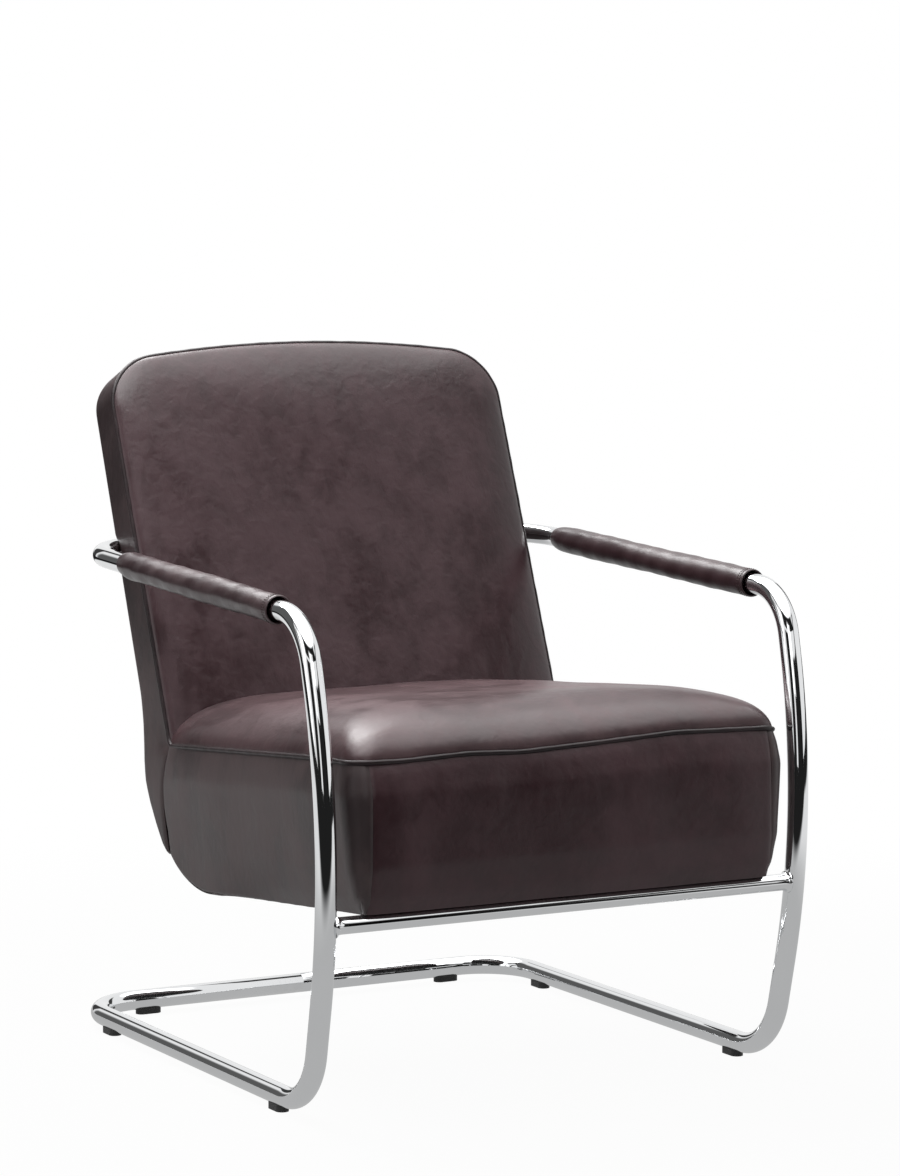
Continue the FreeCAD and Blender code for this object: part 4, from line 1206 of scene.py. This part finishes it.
# %% Stitches at the sleeve's front
def stitch_tree():
    tree = bpy.data.node_groups.new("stitch_ring", "GeometryNodeTree")
    keys = {}
    for label, kind, value in (
        ("Radius", "NodeSocketFloat", 0.0172), ("Stitches", "NodeSocketInt", 34),
        ("Thread", "NodeSocketFloat", 0.0004), ("Stitch Length", "NodeSocketFloat", 0.0023),
        ("Finish", "NodeSocketMaterial", None),
    ):
        socket = tree.interface.new_socket(label, in_out="INPUT", socket_type=kind)
        if value is not None:
            socket.default_value = value
        keys[label] = socket.identifier
    tree.interface.new_socket("Geometry", in_out="OUTPUT", socket_type="NodeSocketGeometry")
    add = tree.nodes.new
    source, result = add("NodeGroupInput"), add("NodeGroupOutput")
    circle, points = add("GeometryNodeCurvePrimitiveCircle"), add("GeometryNodeCurveToPoints")
    bead, size = add("GeometryNodeMeshUVSphere"), add("ShaderNodeCombineXYZ")
    grow = add("GeometryNodeTransform")
    copies, real = add("GeometryNodeInstanceOnPoints"), add("GeometryNodeRealizeInstances")
    paint, smooth = add("GeometryNodeSetMaterial"), add("GeometryNodeSetShadeSmooth")
    circle.inputs["Resolution"].default_value = 96
    bead.inputs["Segments"].default_value = 8
    bead.inputs["Rings"].default_value = 6
    bead.inputs["Radius"].default_value = 1.0
    half = add("ShaderNodeMath")
    half.operation = "MULTIPLY"
    half.inputs[1].default_value = 0.5
    link = tree.links.new
    link(source.outputs["Radius"], circle.inputs["Radius"])
    link(circle.outputs["Curve"], points.inputs["Curve"])
    link(source.outputs["Stitches"], points.inputs["Count"])
    link(source.outputs["Stitch Length"], half.inputs[0])
    for axis in ("X", "Y"):
        link(source.outputs["Thread"], size.inputs[axis])
    link(half.outputs[0], size.inputs["Z"])
    link(bead.outputs["Mesh"], grow.inputs["Geometry"])
    link(size.outputs[0], grow.inputs["Scale"])
    link(points.outputs["Points"], copies.inputs["Points"])
    link(grow.outputs["Geometry"], copies.inputs["Instance"])
    link(points.outputs["Rotation"], copies.inputs["Rotation"])
    link(copies.outputs["Instances"], real.inputs["Geometry"])
    link(real.outputs["Geometry"], smooth.inputs[0])
    link(smooth.outputs[0], paint.inputs["Geometry"])
    link(source.outputs["Finish"], paint.inputs["Material"])
    link(paint.outputs["Geometry"], result.inputs[0])
    return tree, keys


def thread(name):
    recipe = Recipe(name)
    twist = recipe.noise(recipe.place(), 1500.0, 2.0)
    colour = recipe.blend(twist, (0.035, 0.022, 0.022, 1.0), (0.075, 0.052, 0.050, 1.0))
    dull = recipe.between(twist, 0.3, 0.7, 0.5, 0.7)
    normal = recipe.bump(twist, 0.0001, 0.4)
    return recipe.finish({"Base Color": colour, "Roughness": dull, "Normal": normal})


tree, keys = stitch_tree()
thread_finish = thread("stitch_thread")
for name, side in (("left", -1), ("right", 1)):
    for row, (y, radius) in enumerate(((-174.0, 17.15), (-169.5, 17.0))):
        source = bpy.data.objects.new("stitches", bpy.data.meshes.new("stitches"))
        bpy.context.scene.collection.objects.link(source)
        stitching = source.modifiers.new("stitches", "NODES")
        stitching.node_group = tree
        stitching[keys["Radius"]] = radius * 0.001
        stitching[keys["Finish"]] = thread_finish
        finished(source)
        place = Vector(metres((side * frame_half(ARM_FRONT_Z), y, arm_z(y))))
        source.data.transform(Matrix.Translation(place) @ Matrix.Rotation(math.radians(90), 4, "X"))
        source.name = "sleeve_stitches_" + name + "_" + str(row + 1)
        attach(source, "root")
print("stitches set in two rows on each sleeve")

# %% [markdown]
# Black cloth closes the seat's bottom. It is stapled under tension from behind the crossbar to a
# little way up the heel, so it is nearly flat with slight dips between the staples.

# %% Bottom cloth
CLOTH_HALF = 262.0


def cloth_line():
    """The cloth's path along the bottom and a little up the heel, outside the leather."""
    low = whole[(whole[:, 0] < seam_end[0] + 26.0) & (whole[:, 1] < 330.0)][::-1]
    along = np.gradient(low, axis=0)
    along /= np.linalg.norm(along, axis=1)[:, None]
    out = low + 1.5 * np.stack([along[:, 1], -along[:, 0]], axis=1)
    return even(np.insert(out, 0, 0.0, axis=1), 4.0)


path = cloth_line()
across = np.linspace(-1, 1, 75)
rows = []
run = np.linspace(0, 1, len(path))
for index, point in enumerate(path):
    edge_pull = 1.2 * np.abs(np.sin(index * 0.35))
    half = CLOTH_HALF - edge_pull
    dip = 1.6 * (1 - across ** 2) * math.sin(math.pi * run[index]) ** 0.6
    rows.append(stack(across * half, point[1], point[2] - dip))
length = float(np.linalg.norm(np.diff(path, axis=0), axis=1).sum()) * 0.001
cloth = piece("bottom_cloth_sheet", [sheet_of(np.array(rows))], bottom_weave,
              ["bottom_cloth"], wall=0.6)
print("cloth cut", round(2 * CLOTH_HALF), "by", round(length * 1000), "mm")

# %% [markdown]
# The remaining solids have the right shape as they are: glides, bolts, tabs, and what is hidden
# inside. They keep their meshes and only get a finish.

# %% Finishes of the solids that stay
FINISHES = {
    "chrome_tube": chrome_plate, "glide_plastic": glide_plastic, "hardwood": frame_wood,
    "felt": grey_felt, "spring_steel": dark_steel, "inner_steel": dark_steel,
    "fastener_steel": zinc_steel,
}
KEPT = {
    "floor_bar_spigot": "inner_steel", "back_bar_spigot": "inner_steel", "crossbar_tabs": "chrome_tube",
    "glides": "glide_plastic", "side_board_left": "hardwood", "side_board_right": "hardwood",
    "front_rail": "hardwood", "rear_rail": "hardwood", "back_foot_rail": "hardwood",
    "back_top_rail": "hardwood", "bar_rail": "hardwood", "seat_springs": "spring_steel",
    "seat_spring_clips": "spring_steel", "back_springs": "spring_steel", "back_spring_clips": "spring_steel",
    "seat_felt": "felt", "back_felt": "felt", "back_bolts": "fastener_steel",
    "back_tee_nuts": "fastener_steel", "back_bolt_spacers": "fastener_steel",
    "seat_bolts": "fastener_steel", "seat_inserts": "fastener_steel",
}
for node, slot in KEPT.items():
    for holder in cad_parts[node].material_slots:
        holder.material = FINISHES[slot]
print(len(KEPT), "solids kept as they are")

# %% [markdown]
# The studio has a pale floor under white. The camera sees it as nearly white, and a little less so
# near the chair, where a faint shadow stays. The chrome sees a bright sheet that ends some way in
# front, as studio paper does, and diffuse light falls on a plain pale surface.

# %% Floor
def stage_plane(name, corners, material):
    mesh = bpy.data.meshes.new(name)
    mesh.from_pydata(corners, [], [(0, 1, 2, 3)])
    plane = bpy.data.objects.new(name, mesh)
    bpy.context.scene.collection.objects.link(plane)
    mesh.materials.append(material)


def floor_finish():
    recipe = Recipe("pale_floor")
    grain = recipe.noise(recipe.place(), 3.0, 3.0)
    colour = recipe.blend(grain, (0.50, 0.50, 0.50, 1.0), (0.54, 0.54, 0.54, 1.0))
    matt = recipe.node("BsdfDiffuse", {"Color": colour})
    white = recipe.node("Emission", {"Color": (1.0, 1.0, 1.0, 1.0), "Strength": 1.0})
    rays = recipe.node("LightPath")
    reach = recipe.node("VectorMath", {0: recipe.node("TexCoord").outputs["Object"]}, operation="LENGTH")
    far = recipe.between(Number(recipe, reach.outputs["Value"]), 0.8, 1.8, 0.965, 1.0)
    seen = Number(recipe, rays.outputs["Is Camera Ray"]) * far
    gloss = Number(recipe, rays.outputs["Is Glossy Ray"])
    spot = recipe.node("SeparateXYZ", {0: recipe.node("TexCoord").outputs["Object"]})
    to_front = Number(recipe, spot.outputs["X"]) * -0.479 + Number(recipe, spot.outputs["Y"]) * -0.878
    near = recipe.between(Number(recipe, reach.outputs["Value"]), 0.9, 1.9, 0.5, 0.85)
    swept = recipe.between(to_front, 1.0, 1.5, 1.0, 0.0)
    swept = swept * recipe.between(Number(recipe, reach.outputs["Value"]), 3.4, 4.4, 1.0, 0.0)
    mirrored = recipe.node("Emission", {"Color": (1.0, 1.0, 1.0, 1.0), "Strength": swept * near + 0.015})
    to_mirror = gloss * (1.0 - seen)
    unseen = recipe.node("MixShader", {0: to_mirror, 1: matt.outputs[0], 2: mirrored.outputs[0]})
    mixed = recipe.node("MixShader", {0: seen, 1: unseen.outputs[0], 2: white.outputs[0]})
    recipe.node("OutputMaterial", {"Surface": mixed.outputs[0]})
    return recipe.material


FAR = 30.0
stage_plane("floor", [(-FAR, -FAR, 0), (FAR, -FAR, 0), (FAR, FAR, 0), (-FAR, FAR, 0)], floor_finish())
print("floor laid,", 2 * FAR, "m wide")

# %% [markdown]
# Chrome shows the room, so the room is drawn in the world, for mirrors only: a backdrop, a window
# at each side, a bright ceiling, a card and a strip in front. Narrow dark flags give the tube its
# black lines. The camera itself sees plain white.

# %% World
ROOM_TURN = math.radians(28.6)

world = bpy.data.worlds.new("studio")
bpy.context.scene.world = world
studio = Recipe("studio", owner=world)
direction = studio.node("TexCoord").outputs["Generated"]
parts = studio.node("SeparateXYZ", {0: direction})
height = Number(studio, parts.outputs["Z"])
rays = studio.node("LightPath")
gloss = Number(studio, rays.outputs["Is Glossy Ray"])
seen = Number(studio, rays.outputs["Is Camera Ray"])
clear = Number(studio, rays.outputs["Is Transmission Ray"])
turned = studio.node("Mapping", {"Vector": direction, "Rotation": (0.0, 0.0, ROOM_TURN)})
sides = studio.node("SeparateXYZ", {0: turned.outputs[0]})
right = Number(studio, sides.outputs["X"])
behind = Number(studio, sides.outputs["Y"])


def slit(value, middle, half):
    """1 in a narrow band round a value, 0 outside."""
    off = studio.node("Math", {0: value - middle}, operation="ABSOLUTE").outputs[0]
    return studio.between(Number(studio, off), half, half * 0.6)


in_front = studio.between(behind, 0.05, -0.05)
backdrop = studio.between(behind, -0.02, 0.1) * studio.between(right, -0.72, -0.56, 0.2, 1.0)
left_window = studio.between(right, -0.58, -0.68) * in_front
right_window = studio.between(right, 0.6, 0.68) * studio.between(behind, -0.5, -0.42)
ceiling = studio.between(height, 0.66, 0.76)
card = slit(right, -0.06, 0.15) * in_front * studio.between(height, 0.62, 0.5)
front_strip = slit(height, 0.34, 0.05) * in_front
lit = backdrop + left_window + right_window + ceiling + card + front_strip
edge_lines = (slit(right, -0.44, 0.16) + slit(right, 0.44, 0.16)) * studio.between(behind, 0.74, 0.8)
window_bars = slit(right, -0.80, 0.035) * in_front + slit(right, -0.93, 0.02) * in_front
flags = edge_lines + window_bars + slit(right, 0.80, 0.04) * in_front
unflagged = 1.0 - studio.between(flags, 0.0, 1.0) * 0.95
shiny = studio.between(lit, 0.0, 1.0, 0.015, 0.95) * unflagged + ceiling * 2.5
ambient = (1.0 - seen) * (1.0 - gloss) * (1.0 - clear) * 0.22
strength = seen + clear + gloss * shiny * (1.0 - seen) + ambient
glow = studio.node("Background", {"Color": (1.0, 1.0, 1.0, 1.0), "Strength": strength})
studio.node("OutputWorld", {"Surface": glow.outputs[0]})
print("room drawn with", len(studio.tree.nodes), "nodes")

# %% [markdown]
# Soft lamps stand above, behind and to the left, and a weak one in front, which gives the leather
# its form. Area lamps are used because their size sets how soft a highlight is.

# %% Lamps
def lamp(name, place, target, size, power):
    data = bpy.data.lights.new(name, "AREA")
    data.shape = "RECTANGLE"
    data.size, data.size_y = size
    data.energy = power
    item = bpy.data.objects.new(name, data)
    bpy.context.scene.collection.objects.link(item)
    item.location = place
    item.rotation_euler = (Vector(target) - Vector(place)).to_track_quat("-Z", "Y").to_euler()


lamp("rear_overhead_lamp", (-0.3, 1.6, 2.6), (0.0, -0.1, 0.45), (1.8, 1.4), 64.0)
lamp("overhead_lamp", (-0.7, 0.1, 2.8), (0.0, 0.0, 0.45), (2.8, 1.8), 40.0)
lamp("left_lamp", (-3.2, -0.2, 1.4), (0.0, 0.0, 0.45), (1.4, 2.2), 9.0)
lamp("front_lamp", (-1.4, -3.8, 2.0), (0.0, 0.0, 0.45), (1.6, 1.6), 8.0)
print("four lamps set")

# %% [markdown]
# The camera stands a few metres off to the front left, a little above the seat, with a long lens,
# as product photographs are taken. Its place and lens come from a fit of the frame's corners.

# %% Camera
CAMERA_PLACE = (-2.33369, -4.352445, 1.07247)
CAMERA_TARGET = (-0.00021, -0.076935, 0.57896)

view = bpy.data.cameras.new("camera")
view.sensor_width = 36.0
view.lens = 123.22
view.clip_end = 100.0
camera = bpy.data.objects.new("camera", view)
bpy.context.scene.collection.objects.link(camera)
camera.location = CAMERA_PLACE
aim = Vector(CAMERA_TARGET) - camera.location
camera.rotation_euler = aim.to_track_quat("-Z", "Y").to_euler()
bpy.context.scene.camera = camera
bpy.context.scene.view_settings.view_transform = "Standard"
print("camera stands", round(math.dist(CAMERA_PLACE, CAMERA_TARGET), 2), "m from its target")
